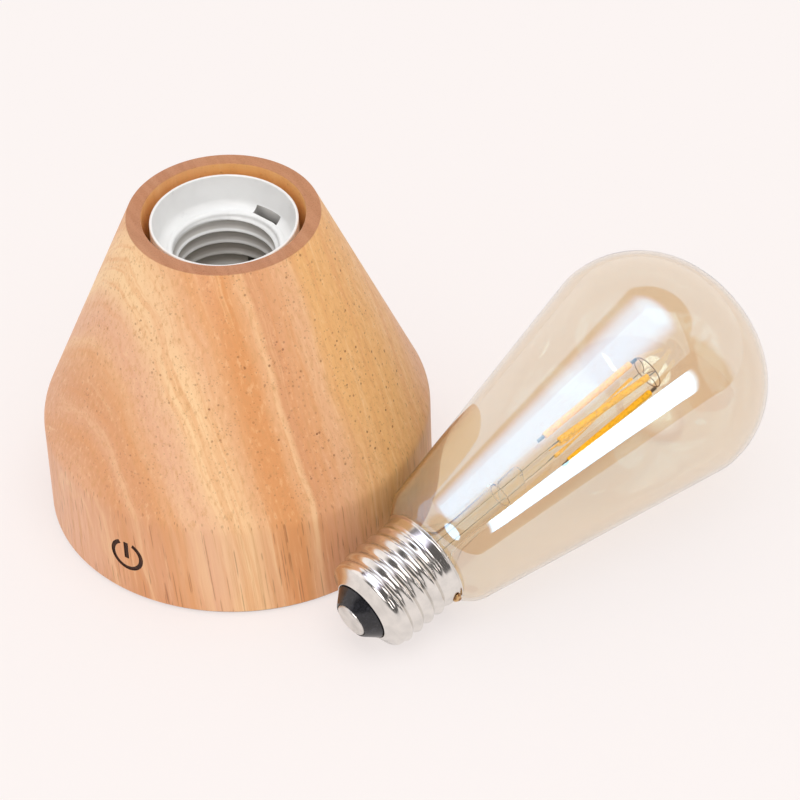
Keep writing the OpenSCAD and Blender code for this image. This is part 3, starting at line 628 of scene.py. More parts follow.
def wood_finish():
    """Pale orange wood: soft upright growth layers, long fine fibres and open pores."""
    wood = settings().wood
    material, s = new_finish("turned_wood")
    spot = s.place()
    x, y, z = s.split(spot)
    # The layers stand upright, and this is the level direction that crosses them.
    over_x, over_y = 0.438, 0.899
    sway = s.noise(s.stretch(spot, 25, 25, 12), detail=2) - 0.5
    curl = s.noise(s.stretch(spot, 130, 130, 60), detail=3) - 0.5
    layer = x * over_x + y * over_y + z * 0.06 + sway * 0.006 + curl * 0.0022
    along = x * -over_y + y * over_x
    tint = growth_layers(s, layer)
    thin = s.noise(s.join(layer * 520, along * 16, z * 9), detail=5, rough=0.65)
    tint = s.mix(thin.step(0.48, 0.66) * 0.50, tint, wood.orange)
    tint = s.mix(thin.step(0.32, 0.46, 1, 0) * 0.45, tint, wood.pale)
    blush = s.noise(s.join(layer * 90, along * 9, z * 12), detail=2).step(0.50, 0.66)
    tint = s.mix(blush * layer.step(0.005, 0.02, 0.42, 0.12), tint, wood.pink)
    leaning = s.join(x + z * 0.066, y + z * 0.045, z)
    fibre = s.noise(s.stretch(leaning, 1000, 1000, 22), detail=4, rough=0.7)
    tint = s.mix(fibre.step(0.50, 0.68) * 0.5, tint, wood.deep)
    tint = s.mix(fibre.step(0.32, 0.46, 1, 0) * 0.35, tint, wood.pale)
    crowd = s.noise(s.stretch(spot, 70, 70, 45), detail=2).step(0.38, 0.58, 0.35, 1)
    crowd = crowd * layer.step(-0.045, 0.015, 0.45, 1)
    cut = z.step(wood.band_h, wood.band_h + 8 * MM)
    pores, dust = open_pores(s, spot, leaning, cut, crowd)
    tint = s.mix((pores * 0.78 + dust * 0.42).math("MINIMUM", 1), tint, wood.pore)
    ray = (s.noise(spot, 780, 2, warp=1.6) - 0.5).math("ABSOLUTE").step(0.0, 0.02, 1, 0)
    ray = ray * s.noise(spot, 330, 2).step(0.47, 0.60)
    tint = s.mix(ray * cut * crowd * 0.45, tint, wood.pore)
    inside = s.reach(x, y).step(wood.bore_r + 0.2 * MM, wood.bore_r + 0.5 * MM, 1, 0)
    tint = s.mix(inside * 0.65, tint, wood.bore)
    rim = z.step(wood.body_h - 0.35 * MM, wood.body_h - 0.05 * MM)
    speck = s.noise(s.stretch(spot, 2600, 2600, 2600), detail=2).step(0.45, 0.7)
    patch = s.noise(s.join(layer * 420, along * 60, z), detail=2).step(0.35, 0.65)
    grain_end = s.mix(speck * 0.30 + patch * 0.26, wood.end_grain, wood.pore)
    s.coat(
        base_color=s.mix(rim * 0.88, tint, grain_end),
        roughness=fibre.step(0.3, 0.8, 0.40, 0.56),
        specular_ior_level=0.4,
        normal=s.bump(fibre * 0.3 - pores, 0.06 * MM, 0.5),
    )
    return material


def burnt_finish():
    """Wood charred dark brown in the touch symbol."""
    material, s = new_finish("burnt_wood")
    grit = s.noise(s.stretch(s.place(), 2500, 2500, 500), detail=3)
    tint = s.mix(grit.step(0.4, 0.8), settings().wood.burnt, srgb(92, 54, 34))
    s.coat(base_color=tint, roughness=0.8, normal=s.bump(grit, 0.08 * MM, 0.6))
    return material


def holder_shade(s, spot, shade):
    """Greys the lampholder's plastic where little light falls: its depth, grooves and slot."""
    holder = settings().holder
    mouth = holder.mouth_z
    x, y, z = s.split(spot)
    down = z.step(mouth - 13 * MM, mouth - MM, 0.75, 0)
    shade = s.mix(down, shade, srgb(150, 142, 132))
    groove = s.reach(x, y).step(holder.minor_r + 0.2 * MM, holder.minor_r + 0.7 * MM)
    groove = groove * z.step(mouth - 2.6 * MM, mouth - 1.8 * MM, 0.6, 0)
    shade = s.mix(groove, shade, srgb(140, 130, 118))
    east, north = math.cos(holder.latch_side), math.sin(holder.latch_side)
    half, top = holder.latch_w / 2, mouth + holder.latch_top
    across = (x * -north + y * east).math("ABSOLUTE")
    slot = across.step(half + 0.05 * MM, half + 0.15 * MM, 0.6, 0)
    outward = x * east + y * north
    slot = slot * outward.step(holder.major_r + 0.8 * MM, holder.major_r + 0.95 * MM)
    slot = slot * z.step(top + 0.02 * MM, top + 0.1 * MM, 1, 0)
    return s.mix(slot, shade, srgb(134, 127, 119))


def moulded_finish(name, tint, roughness=0.4, grain=0.02, shading=None):
    """Moulded plastic with a faint unevenness, and more shading where a function adds it."""
    material, s = new_finish(name)
    spot = s.place()
    cloud = s.noise(spot, 160, 3)
    fine = s.noise(spot, 4200, 2)
    shade = s.mix(cloud.step(0.3, 0.7), shaded(tint, 0.95), tint)
    if shading:
        shade = shading(s, spot, shade)
    s.coat(
        base_color=shade,
        roughness=cloud.step(0.3, 0.7, roughness * 0.85, roughness * 1.15),
        normal=s.bump(fine, grain * MM, 0.5),
    )
    return material


def metal_finish(name, tint, roughness=0.3, scratch=0.01, place=Shader.place):
    """Sheet or turned metal with handling marks."""
    material, s = new_finish(name)
    spot = place(s)
    cloud = s.noise(spot, 240, 4)
    lines = s.noise(s.stretch(spot, 900, 900, 9000), detail=2)
    s.coat(
        base_color=s.mix(cloud.step(0.35, 0.75), tint, shaded(tint, 0.86)),
        metallic=1.0,
        roughness=cloud.step(0.3, 0.8, roughness * 0.7, roughness * 1.35),
        normal=s.bump(lines + cloud * 0.5, scratch * MM, 0.5),
    )
    return material


def glass_finish(name, tint, lustre=(1, 1, 1), ior=1.5):
    """Clear or tinted glass that lets lamps shine through, with a painted dark edge: its colour
    turns greyer towards its outline.
    """
    material, s = new_finish(name)
    flow = s.noise(s.stretch(bulb_place(s), 30, 30, 12), detail=1)
    slant = s.add("ShaderNodeLayerWeight", sockets={"Blend": 0.5}, output="Facing")
    edge = [part * share for part, share in zip(tint, (0.62, 0.72, 0.86))]
    glass = s.principled(
        # Painted shade: the colour greys where the surface slants away from view, drawing a dark
        # outline.
        base_color=s.mix(slant.step(0.84, 0.99), tint, edge),
        roughness=0.0,
        transmission_weight=1.0,
        ior=ior,
        specular_tint=lustre,
        normal=s.bump(flow, 0.2 * MM, 0.25),
    )
    clear = s.add("ShaderNodeBsdfTransparent", sockets={"Color": [part**0.3 for part in tint]})
    s.finish(s.add("ShaderNodeMixShader", sockets={0: s.ray("Shadow"), 1: glass, 2: clear}))
    return material


def insulator_finish():
    """Glossy black glass with faint swirls."""
    material, s = new_finish("cap_black_glass")
    swirl = s.noise(bulb_place(s), 500, 3, warp=1.5)
    s.coat(
        base_color=s.mix(swirl.step(0.4, 0.8), settings().bulb.insulator, srgb(52, 52, 58)),
        roughness=swirl.step(0.3, 0.7, 0.16, 0.26),
        normal=s.bump(swirl, 0.01 * MM, 0.4),
    )
    return material


def solder_finish():
    """A dab of solder under brown flux."""
    material, s = new_finish("rim_solder_flux")
    blot = s.noise(s.place(), 900, 4)
    s.coat(
        base_color=s.mix(blot.step(0.4, 0.6), srgb(150, 98, 48), srgb(214, 176, 122)),
        metallic=blot.step(0.4, 0.6, 0.2, 0.9),
        roughness=0.3,
        normal=s.bump(blot, 0.15 * MM, 0.6),
    )
    return material


def filament_finish():
    """Yellow-orange coating, a little uneven, with a painted faint glow although the filaments are
    unlit.
    """
    glow = settings().bulb.glow
    material, s = new_finish("filament_coating_glow")
    grit = s.noise(bulb_place(s), 1400, 3)
    tint = s.mix(grit.step(0.35, 0.7), glow, shaded(glow, 0.72))
    s.coat(
        base_color=tint,
        roughness=0.5,
        # Painted light: the unlit coating glows faintly in its own colour.
        emission_color=tint,
        emission_strength=0.45,
        normal=s.bump(grit, 0.05 * MM, 0.5),
    )
    return material


def board_finish():
    """Green circuit board with copper tracks under its coating."""
    material, s = new_finish("circuit_board")
    tracks = s.cells(s.stretch(s.place(), 520, 520, 520), feature="DISTANCE_TO_EDGE")
    line = tracks.step(0.05, 0.09, 1, 0)
    tint = s.mix(line, srgb(22, 96, 58), srgb(52, 134, 82))
    s.coat(base_color=tint, roughness=0.35, normal=s.bump(line, 0.03 * MM, 0.5))
    return material


def foam_finish():
    """Pale grey foam with fine open cells."""
    material, s = new_finish("foot_foam")
    cells = s.cells(s.place(), 2600)
    tint = s.mix(cells.step(0.1, 0.7), srgb(150, 149, 147), srgb(196, 194, 191))
    s.coat(base_color=tint, roughness=0.9, normal=s.bump(cells, 0.08 * MM, 0.6))
    return material


# ---------- operators ----------


class LAMP_OT_turn_body(bpy.types.Operator):
    """Turn the wooden body, burn in the symbol and cut the charging slot"""

    bl_idname = "lamp.turn_body"
    bl_label = "Turn the body"

    def execute(self, context):
        wood = settings().wood
        body = turned("turned_body", self.outline(wood), 256)
        cut(body, self.symbol_tool(wood))
        cut(body, self.slot_tool(wood))
        body.data.materials.clear()
        body.data.materials.append(wood_finish())
        body.data.materials.append(burnt_finish())
        reach = wood.symbol_r + MM
        for face in body.data.polygons:
            x, y, z = face.center
            near = y < 0 and abs(x) < reach and wood.symbol_z - reach < z < wood.symbol_z + reach
            deep = wood.cavity_r + MM < math.hypot(x, y) < wood.body_r - 0.05 * MM
            face.material_index = int(near and deep)
        smooth(body, 30)
        dress(body, None, "base", ["wood_body"])
        return {"FINISHED"}

    def outline(self, wood):
        """The body's section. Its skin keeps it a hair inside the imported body."""
        lean = math.atan2(wood.body_r - wood.rim_r, wood.body_h - wood.band_h)
        degrees = math.degrees(lean)
        tangent = wood.knee_r * math.tan(lean / 2)
        skin, edge, inner = 0.005 * MM, 0.4 * MM, 0.35 * MM
        band_r = wood.body_r - skin
        turn = edge * math.tan(math.radians(90 - degrees) / 2)
        return (
            [(wood.cover_r, wood.pad_t)]
            + arc((band_r - edge, wood.pad_t + edge), edge, -90, 0, 4)
            + arc((band_r - wood.knee_r, wood.band_h - tangent), wood.knee_r, 0, degrees, 16)
            + arc((wood.rim_r - turn, wood.body_h - edge), edge, degrees, 90, 6)
            + arc((wood.bore_r + inner, wood.body_h - inner), inner, 90, 180, 4)
            + [
                (wood.bore_r, wood.ledge_z),
                (wood.ledge_r, wood.ledge_z),
                (wood.cavity_r, wood.band_h),
                (wood.cavity_r, wood.cover_z),
                (wood.cover_r, wood.cover_z),
                (wood.cover_r, wood.pad_t),
            ]
        )

    def symbol_tool(self, wood):
        """The symbol's ring with its gap, and its bar, as a tool that cuts to an even depth."""
        floor_r = wood.body_r - wood.symbol_depth
        middle_r = wood.symbol_r - wood.symbol_w / 2
        grow = wood.symbol_w / 2 / middle_r
        gap = math.radians(25)
        deselect()
        bpy.ops.mesh.primitive_circle_add(vertices=96, radius=middle_r)
        ring = bpy.context.object
        bpy.ops.object.mode_set(mode="EDIT")
        mesh = bmesh.from_edit_mesh(ring.data)
        for vertex in mesh.verts:
            vertex.select = abs(math.atan2(vertex.co.x, vertex.co.y)) < gap
        mesh.select_flush_mode()
        bpy.ops.mesh.delete(type="VERT")
        bpy.ops.mesh.select_all(action="SELECT")
        bpy.ops.mesh.extrude_edges_move()
        bpy.ops.transform.resize(value=(1 + grow, 1 + grow, 1), center_override=(0, 0, 0))
        bpy.ops.mesh.select_all(action="INVERT")
        bpy.ops.transform.resize(value=(1 - grow, 1 - grow, 1), center_override=(0, 0, 0))
        bpy.ops.object.mode_set(mode="OBJECT")
        low, top = -0.2 * wood.symbol_r, 0.88 * wood.symbol_r
        bpy.ops.mesh.primitive_plane_add(size=1)
        bar = bpy.context.object
        bar.scale = (wood.symbol_w * 1.15, top - low, 1)
        bar.location = (0, (top + low) / 2, 0)
        settle(bar)
        tool = joined([ring, bar], "symbol_tool")
        upright = Matrix.Rotation(math.pi / 2, 4, "X")
        settle(tool, Matrix.Translation((0, -floor_r, wood.symbol_z)) @ upright)
        edit(tool)
        bpy.ops.mesh.extrude_region_move(TRANSFORM_OT_translate={"value": (0, -2 * MM, 0)})
        close()
        for vertex in tool.data.vertices:
            if vertex.co.y > -floor_r - MM:
                vertex.co.y = -math.sqrt(floor_r**2 - vertex.co.x**2)
        return tool

    def slot_tool(self, wood):
        """A bar with rounded long edges that cuts the slot for the charging bezel."""
        half_w, half_h, rounding = wood.inlet_w / 2, wood.inlet_h / 2, 2 * MM
        tool = block(
            "slot_tool",
            (-half_w, wood.cavity_r - 3 * MM, wood.inlet_z - half_h),
            (half_w, wood.body_r + 5 * MM, wood.inlet_z + half_h),
        )
        edit(tool)
        bpy.ops.mesh.select_mode(type="EDGE")
        bpy.ops.mesh.select_all(action="DESELECT")
        mesh = bmesh.from_edit_mesh(tool.data)
        for edge in mesh.edges:
            start, end = edge.verts
            edge.select_set(abs(start.co.y - end.co.y) > MM)
        bmesh.update_edit_mesh(tool.data)
        bpy.ops.mesh.bevel(offset=rounding, segments=8)
        bpy.ops.mesh.select_mode(type="VERT")
        bpy.ops.object.mode_set(mode="OBJECT")
        return tool


class LAMP_OT_make_foot(bpy.types.Operator):
    """Make the thin foot pad under the body"""

    bl_idname = "lamp.make_foot"
    bl_label = "Make the foot pad"

    def execute(self, context):
        wood = settings().wood
        edge = 0.25 * MM
        side = wood.pad_r - edge
        low = arc((side, edge), edge, -90, 0, 4)
        high = arc((side, wood.pad_t - edge), edge, 0, 90, 4)
        pad = turned("foot_cushion", [(0, 0), *low, *high, (0, wood.pad_t)], 192)
        dress(pad, foam_finish(), "base", ["foot_pad"])
        return {"FINISHED"}


class LAMP_OT_mould_lampholder(bpy.types.Operator):
    """Mould the white lampholder with its bowl, latch slot and screw thread"""

    bl_idname = "lamp.mould_lampholder"
    bl_label = "Mould the lampholder"

    def execute(self, context):
        holder = settings().holder
        shell = self.shell(holder)
        low = (holder.major_r + MM, -holder.latch_w / 2, holder.mouth_z - 6 * MM)
        high = (holder.major_r + 3.2 * MM, holder.latch_w / 2, holder.mouth_z + holder.latch_top)
        latch = block("latch_tool", low, high)
        settle(latch, Matrix.Rotation(holder.latch_side, 4, "Z"))
        cut(shell, latch)
        # The side contact reaches the thread through a window in the tube.
        half, near, far, foot, top = (size * MM for size in (3.2, 11.25, 16.2, 56.5, 66.8))
        cut(shell, block("window_tool", (-half, near, foot), (half, far, top)))
        smooth(shell)
        finish = moulded_finish("white_plastic", holder.white, 0.32, 0.01, holder_shade)
        dress(shell, finish, "base", ["lampholder_shell"])
        return {"FINISHED"}

    def shell(self, holder):
        """The tube with its thread, its shelf, and the collar with its bowl."""
        pitch = settings().bulb.pitch
        inner = holder.collar_r - holder.collar_t
        shelf = holder.mouth_z - 0.7 * MM
        under = shelf - 1.6 * MM
        skirt = holder.collar_z - 24.5 * MM
        bowl, lip, chamfer = 3 * MM, 0.8 * MM, 0.35 * MM
        floor_r = 14.2 * MM
        low, top = holder.first_crest - 4.4 * pitch, holder.mouth_z - lip
        count = round((top - low) / (pitch / 14))
        thread = [(holder.major_r, top - (top - low) * i / count) for i in range(1, count + 1)]
        outer = (holder.collar_r - 0.3 * MM, holder.collar_z - 0.3 * MM)
        inward = (holder.collar_r - 0.5 * MM, holder.collar_z - 0.25 * MM)
        lip_r = holder.major_r + lip
        outline = (
            [(holder.tube_r, holder.foot_z), (holder.tube_r, under), (inner, under)]
            + [(inner, skirt), (holder.collar_r, skirt)]
            + arc(outer, 0.3 * MM, 0, 90, 5)
            + arc(inward, 0.25 * MM, 90, 190, 4)
            + [(inner + 0.1 * MM, holder.collar_z - 4 * MM)]
            + arc((inner - 0.5 * MM - bowl, shelf + bowl), bowl, 0, -84, 9)
            + arc((lip_r + chamfer, holder.mouth_z - chamfer), chamfer, 60, 90, 2)
            + arc((lip_r, top), lip, 90, 180, 7)
            + thread
            + [(floor_r, low), (floor_r, holder.foot_z), (holder.tube_r, holder.foot_z)]
        )
        shell = turned("lampholder_moulding", outline, 160)
        depth = holder.major_r - holder.minor_r

        def ridge(z, turn, radius):
            if radius > holder.major_r + 0.01 * MM:
                return 0
            wave = 0.5 + 0.5 * crest(z, turn, holder.first_crest, pitch)
            fade = ease(low, low + MM, z) * (1 - ease(top - 1.6 * MM, top, z))
            return -depth * fade * wave**2.4

        relief(shell, low + 0.1 * MM, top - 0.01 * MM, ridge)
        return shell


class LAMP_OT_blow_glass(bpy.types.Operator):
    """Blow the amber glass: neck, shoulder, cone, belly and crown"""

    bl_idname = "lamp.blow_glass"
    bl_label = "Blow the glass"

    def execute(self, context):
        bulb = settings().bulb
        outer = self.line(bulb, 0.01 * MM)
        inner = self.line(bulb, bulb.glass_t)
        glass = turned("amber_envelope", outer + inner[::-1] + outer[:1], 224, 50)
        settle(glass, bulb_frame())
        finish = glass_finish("amber_glass", bulb.amber, bulb.lustre, bulb.refraction)
        dress(glass, finish, "bulb", ["glass_envelope"])
        return {"FINISHED"}

    def line(self, bulb, inset):
        """The glass from neck to crown, moved inwards by inset."""
        flank = Vector((bulb.belly_r - bulb.flank_arc, bulb.belly_z))
        slope = Vector((bulb.shoulder_r, bulb.shoulder_z))
        run = flank - slope
        lean = math.atan2(run.x, run.y) + math.asin(bulb.flank_arc / run.length)
        shoulder = slope - bulb.shoulder_arc * Vector((math.cos(lean), -math.sin(lean)))
        rise = bulb.belly_z - bulb.bulb_l + bulb.crown_arc
        belly = (bulb.crown_arc**2 - bulb.belly_r**2 - rise**2) / (
            2 * (bulb.crown_arc - bulb.belly_r)
        )
        crown = math.degrees(math.atan2(rise, bulb.belly_r - belly))
        neck = (bulb.neck_r - inset, bulb.neck_z)
        start = -math.degrees(math.acos((neck[0] - shoulder.x) / (bulb.shoulder_arc - inset)))
        lean = math.degrees(lean)
        cone_start = arc(shoulder, bulb.shoulder_arc - inset, start, -lean, 22)
        cone_end = arc(flank, bulb.flank_arc - inset, -lean, 0, 8)
        (r0, z0), (r1, z1) = cone_start[-1], cone_end[0]
        cone = [(r0 + (r1 - r0) * i / 8, z0 + (z1 - z0) * i / 8) for i in range(1, 8)]
        return (
            [neck]
            + cone_start
            + cone
            + cone_end
            + arc((bulb.belly_r - belly, bulb.belly_z), belly - inset, 0, crown, 26)[1:]
            + arc((0, bulb.bulb_l - bulb.crown_arc), bulb.crown_arc - inset, crown, 90, 14)[1:]
        )


class LAMP_OT_form_cap(bpy.types.Operator):
    """Form the screw cap: threaded sheet, black insulator, tip contact and solder"""

    bl_idname = "lamp.form_cap"
    bl_label = "Form the cap"

    def execute(self, context):
        bulb = settings().bulb
        nickel = metal_finish("cap_nickel", bulb.nickel, 0.2, 0.004, bulb_place)
        tip = metal_finish("tip_metal", shaded(bulb.nickel, 0.94), 0.42, 0.008, bulb_place)
        black = insulator_finish()
        for piece, finish, slot, node in (
            (self.shell(bulb), nickel, "cap_nickel", "screw_shell"),
            (self.insulator(bulb), black, "cap_black_glass", "cap_insulator"),
            (self.contact(bulb), tip, "cap_nickel", "cap_contact"),
            (self.solder(bulb), solder_finish(), "solder", "rim_solder"),
        ):
            settle(piece, bulb_frame())
            dress(piece, finish, "bulb", [node])
        return {"FINISHED"}

    def shell(self, bulb):
        """The threaded sheet from the insulator to the lip, with its inner side."""
        sheet = 0.35 * MM
        foot_r, foot_z = bulb.foot_r, bulb.foot_z
        start = bulb.first_crest - 0.62 * bulb.pitch
        end = bulb.first_crest + (bulb.turns - 0.38) * bulb.pitch
        middle = (bulb.crest_r + bulb.root_r) / 2
        count = round((end - start) / (bulb.pitch / 14))
        outline = (
            arc((foot_r + 0.1 * MM, foot_z + 0.15 * MM), 0.15 * MM, -150, -60, 3)
            + [(foot_r + 1.55 * MM, foot_z + 1.15 * MM)]
            + arc((middle - 1.5 * MM, start - 0.2 * MM), 1.5 * MM, -48, 0, 6)
            + [(middle, start + (end - start) * i / count) for i in range(count + 1)]
            + arc((bulb.skirt_r - 0.6 * MM, end + 0.75 * MM), 0.6 * MM, -30, 0, 3)
            + [(bulb.skirt_r, bulb.cap_l - 0.95 * MM)]
            + arc((bulb.skirt_r + 0.45 * MM, bulb.cap_l - 0.85 * MM), 0.45 * MM, 180, 100, 4)
            + arc((bulb.lip_r - 0.17 * MM, bulb.cap_l - 0.17 * MM), 0.17 * MM, -60, 90, 5)
            + [(bulb.skirt_r - sheet, bulb.cap_l), (bulb.skirt_r - sheet, end + 0.5 * MM)]
            + [(bulb.root_r - sheet, end), (bulb.root_r - sheet, start + 0.6 * MM)]
            + [(foot_r - 0.2 * MM, foot_z + 0.5 * MM), (foot_r - 0.03 * MM, foot_z + 0.075 * MM)]
        )
        shell = turned("threaded_cap", outline, 192)
        swing = (bulb.crest_r - bulb.root_r) / 2

        def ridge(z, turn, radius):
            if radius < middle - 0.05 * MM:
                return 0
            fade = ease(start, start + 1.7 * MM, z) * (1 - ease(end - 1.7 * MM, end, z))
            return swing * fade * crest(z, turn, bulb.first_crest, bulb.pitch)

        relief(shell, start, end, ridge)
        smooth(shell, 40)
        return shell

    def insulator(self, bulb):
        """The black glass cone round the tip contact."""
        hole_r, tip_r, foot_r, foot_z = 1.6 * MM, bulb.tip_r, bulb.foot_r, bulb.foot_z
        outline = [
            (hole_r, 0.95 * MM),
            (tip_r - 0.1 * MM, 0.95 * MM),
            (tip_r, 0.6 * MM),
            (tip_r + 0.25 * MM, 0.42 * MM),
            (tip_r + 0.6 * MM, 0.62 * MM),
            (foot_r - 0.75 * MM, foot_z - 0.75 * MM),
            (foot_r - 0.3 * MM, foot_z - 0.25 * MM),
            (foot_r - 0.45 * MM, foot_z + 0.05 * MM),
            (foot_r, foot_z + 1.1 * MM),
            (6 * MM, foot_z + 1.5 * MM),
            (hole_r, foot_z - 0.6 * MM),
            (hole_r, 0.95 * MM),
        ]
        return turned("cap_insulator_glass", outline, 128, 50)

    def contact(self, bulb):
        """The flat tip contact with its rounded edge and its stem."""
        stem_r, top, under = 1.5 * MM, 4.5 * MM, 0.85 * MM
        outline = (
            [(0, 0.12 * MM), (1.5 * MM, 0.02 * MM), (3.4 * MM, 0)]
            + arc((3.9 * MM, 0.75 * MM), 0.75 * MM, -90, -10, 6)
            + [(bulb.tip_r - 0.1 * MM, under), (stem_r, under), (stem_r, top), (0, top)]
        )
        return turned("tip_contact", outline, 96, 50)

    def solder(self, bulb):
        """An uneven dab just under the lip, flat where it lies on the skirt."""
        deselect()
        radius = 1.35 * MM
        bpy.ops.mesh.primitive_uv_sphere_add(segments=32, ring_count=18, radius=radius)
        dab = bpy.context.object
        name_piece(dab, "rim_solder_dab")
        for vertex in dab.data.vertices:
            n = vertex.co.normalized()
            swell = 0.10 * math.sin(6.2 * n.y + 1) + 0.07 * math.sin(5.3 * n.z + 4 * n.y)
            vertex.co = n * radius * (0.92 + swell * 0.7)
            vertex.co.x = max(vertex.co.x, 0) * 0.85 + 0.02 * MM
            vertex.co.y *= 1.5
            vertex.co.z = min(vertex.co.z, 0.62 * MM)
        dab.data.update()
        apply_modifier(dab, "SUBSURF", levels=1, render_levels=1)
        smooth(dab, 60)
        spot = Matrix.Translation((bulb.skirt_r, 0, bulb.cap_l - 1.41 * MM))
        settle(dab, Matrix.Rotation(math.radians(-68), 4, "Z") @ spot)
        return dab


class LAMP_OT_fit_filaments(bpy.types.Operator):
    """Fit the glass stem, the wires and the light filaments"""

    bl_idname = "lamp.fit_filaments"
    bl_label = "Fit the filaments"

    def execute(self, context):
        bulb = settings().bulb
        self.stem(bulb)
        self.filaments(bulb)
        self.lead_in_wires(bulb)
        self.support_wires(bulb)
        return {"FINISHED"}

    def end(self, bulb, index, z):
        """Where a filament's middle line is at a distance from the tip."""
        share = index / bulb.filament_n
        rise = (z - bulb.filament_z) / bulb.filament_l
        turn = bulb.filament_turn + TURN * share + bulb.filament_twist * rise
        return Vector((bulb.filament_r * math.cos(turn), bulb.filament_r * math.sin(turn), z))

    def stem(self, bulb):
        """The flared tube, the pinch that holds the wires, and the rod above it."""
        flare_r, foot = 11.3 * MM, 24.5 * MM
        press, press_top, press_r = 52 * MM, 60 * MM, 4.1 * MM
        outline = (
            [(3.1 * MM, press), (2.7 * MM, 40 * MM), (2.7 * MM, 36 * MM), (3 * MM, foot + 7 * MM)]
            + [(5.5 * MM, foot + 3.5 * MM), (flare_r - MM, foot)]
            + arc((flare_r - 0.35 * MM, foot + 0.35 * MM), 0.35 * MM, -90, 90, 4)
            + [(6.6 * MM, foot + 5 * MM), (4.4 * MM, foot + 10 * MM), (press_r, 40 * MM)]
            + [(press_r, press), (3.1 * MM, press)]
        )
        tube = turned("stem_tube", outline, 96, 60)
        low, high = (-4.4 * MM, -1.7 * MM, press), (4.4 * MM, 1.7 * MM, press_top)
        pinch = block("stem_pinch", low, high, 1.5 * MM, 5)
        rod_r, rod_foot = 0.95 * MM, press_top - 0.4 * MM
        top = bulb.filament_z + bulb.filament_l + 2 * MM
        outline = [(0, rod_foot), (rod_r, rod_foot), (0.85 * MM, 70 * MM)]
        rod = turned("stem_rod", outline + arc((0, top - rod_r), rod_r, 0, 90, 6), 32, 60)
        stem = joined([tube, pinch, rod], "glass_stem_assembly")
        smooth(stem, 60)
        settle(stem, bulb_frame())
        clear = glass_finish("clear_glass", (0.97, 0.98, 0.97), ior=1.1)
        dress(stem, clear, "bulb", ["glass_stem"])

    def filaments(self, bulb):
        """The coated strips with a metal tab at each end, all made from the first."""
        coated = filament_finish()
        steel = metal_finish("filament_tab_metal", srgb(150, 140, 125), 0.4, 0.01, bulb_place)
        radius, edge, tab = bulb.filament_d / 2, 0.35 * MM, 2.2 * MM
        ends = [
            [self.end(bulb, index, bulb.filament_z + rise) for rise in (0, bulb.filament_l)]
            for index in range(bulb.filament_n)
        ]
        span = (ends[0][1] - ends[0][0]).length
        outline = (
            [(0, tab)]
            + arc((radius - edge, tab + edge), edge, -90, 0, 3)
            + [(radius * 0.97, span / 2)]
            + arc((radius - edge, span - tab - edge), edge, 0, 90, 3)
            + [(0, span - tab)]
        )
        strip = turned("light_filament_1", outline, 24, 60)
        strip.data.materials.append(coated)
        tabs = [
            block("tab", (-0.45 * MM, -0.12 * MM, low), (0.45 * MM, 0.12 * MM, high), 0.05 * MM, 2)
            for low, high in ((0, tab + MM), (span - tab - MM, span))
        ]
        for piece in tabs:
            piece.data.materials.append(steel)
        pieces = [joined([strip, *tabs], "light_filament_1")]
        for _ in ends[1:]:
            piece = pieces[0].copy()
            piece.data = pieces[0].data.copy()
            bpy.context.collection.objects.link(piece)
            pieces.append(piece)
        for index, (piece, (low, high)) in enumerate(zip(pieces, ends)):
            turn = (high - low).to_track_quat("Z", "Y").to_matrix().to_4x4()
            settle(piece, bulb_frame() @ Matrix.Translation(low) @ turn)
            name_piece(piece, f"light_filament_{index + 1}")
            dress(piece, None, "bulb", ["light_filaments"])

    def lead_in_wires(self, bulb):
        """Two wires from the cap through the stem to the feet of opposite filaments."""
        sleeved = moulded_finish("sleeved_wire", srgb(216, 198, 168), 0.5)
        foot, top = 20.2 * MM, 60 * MM
        for side, index in ((1, 0), (-1, bulb.filament_n // 2)):
            x = side * 2.1 * MM
            end = self.end(bulb, index, bulb.filament_z + 0.4 * MM)
            bend = self.end(bulb, index, bulb.filament_z - 3 * MM) * 0.9
            bend.z = bulb.filament_z - 4 * MM
            route = [(x, 0, z) for z in (foot, 40 * MM, top - 4 * MM, top + MM)] + [bend, end]
            lead = wire(f"lead_in_wire_{index + 1}", route, bulb.wire_r, 10, 8)
            settle(lead, bulb_frame())
            dress(lead, sleeved, "bulb", ["lead_in_wires"])

    def support_wires(self, bulb):
        """A ring over the filaments' upper ends, on four spokes from the rod."""
        dull = metal_finish("thin_wire", srgb(178, 138, 92), 0.5, 0.01, bulb_place)
        z = bulb.filament_z + bulb.filament_l + 0.35 * MM
        deselect()
        bpy.ops.mesh.primitive_torus_add(
            major_radius=bulb.filament_r,
            minor_radius=bulb.wire_r,
            major_segments=72,
            minor_segments=10,
            location=(0, 0, z),
        )
        ring = bpy.context.object
        route = [(0.9 * MM, 0, z - 0.6 * MM), (2.4 * MM, 0, z + 0.15 * MM), (bulb.filament_r, 0, z)]
        spokes = [wire("spoke", route, 0.11 * MM, 8, 4) for _ in range(4)]
        for index, spoke in enumerate(spokes):
            settle(spoke, Matrix.Rotation(math.radians(50 + 90 * index), 4, "Z"))
        settle(ring)
        support = joined([ring, *spokes], "support_wire_ring")
        smooth(support, 60)
        settle(support, bulb_frame())
        dress(support, dull, "bulb", ["support_wires"])


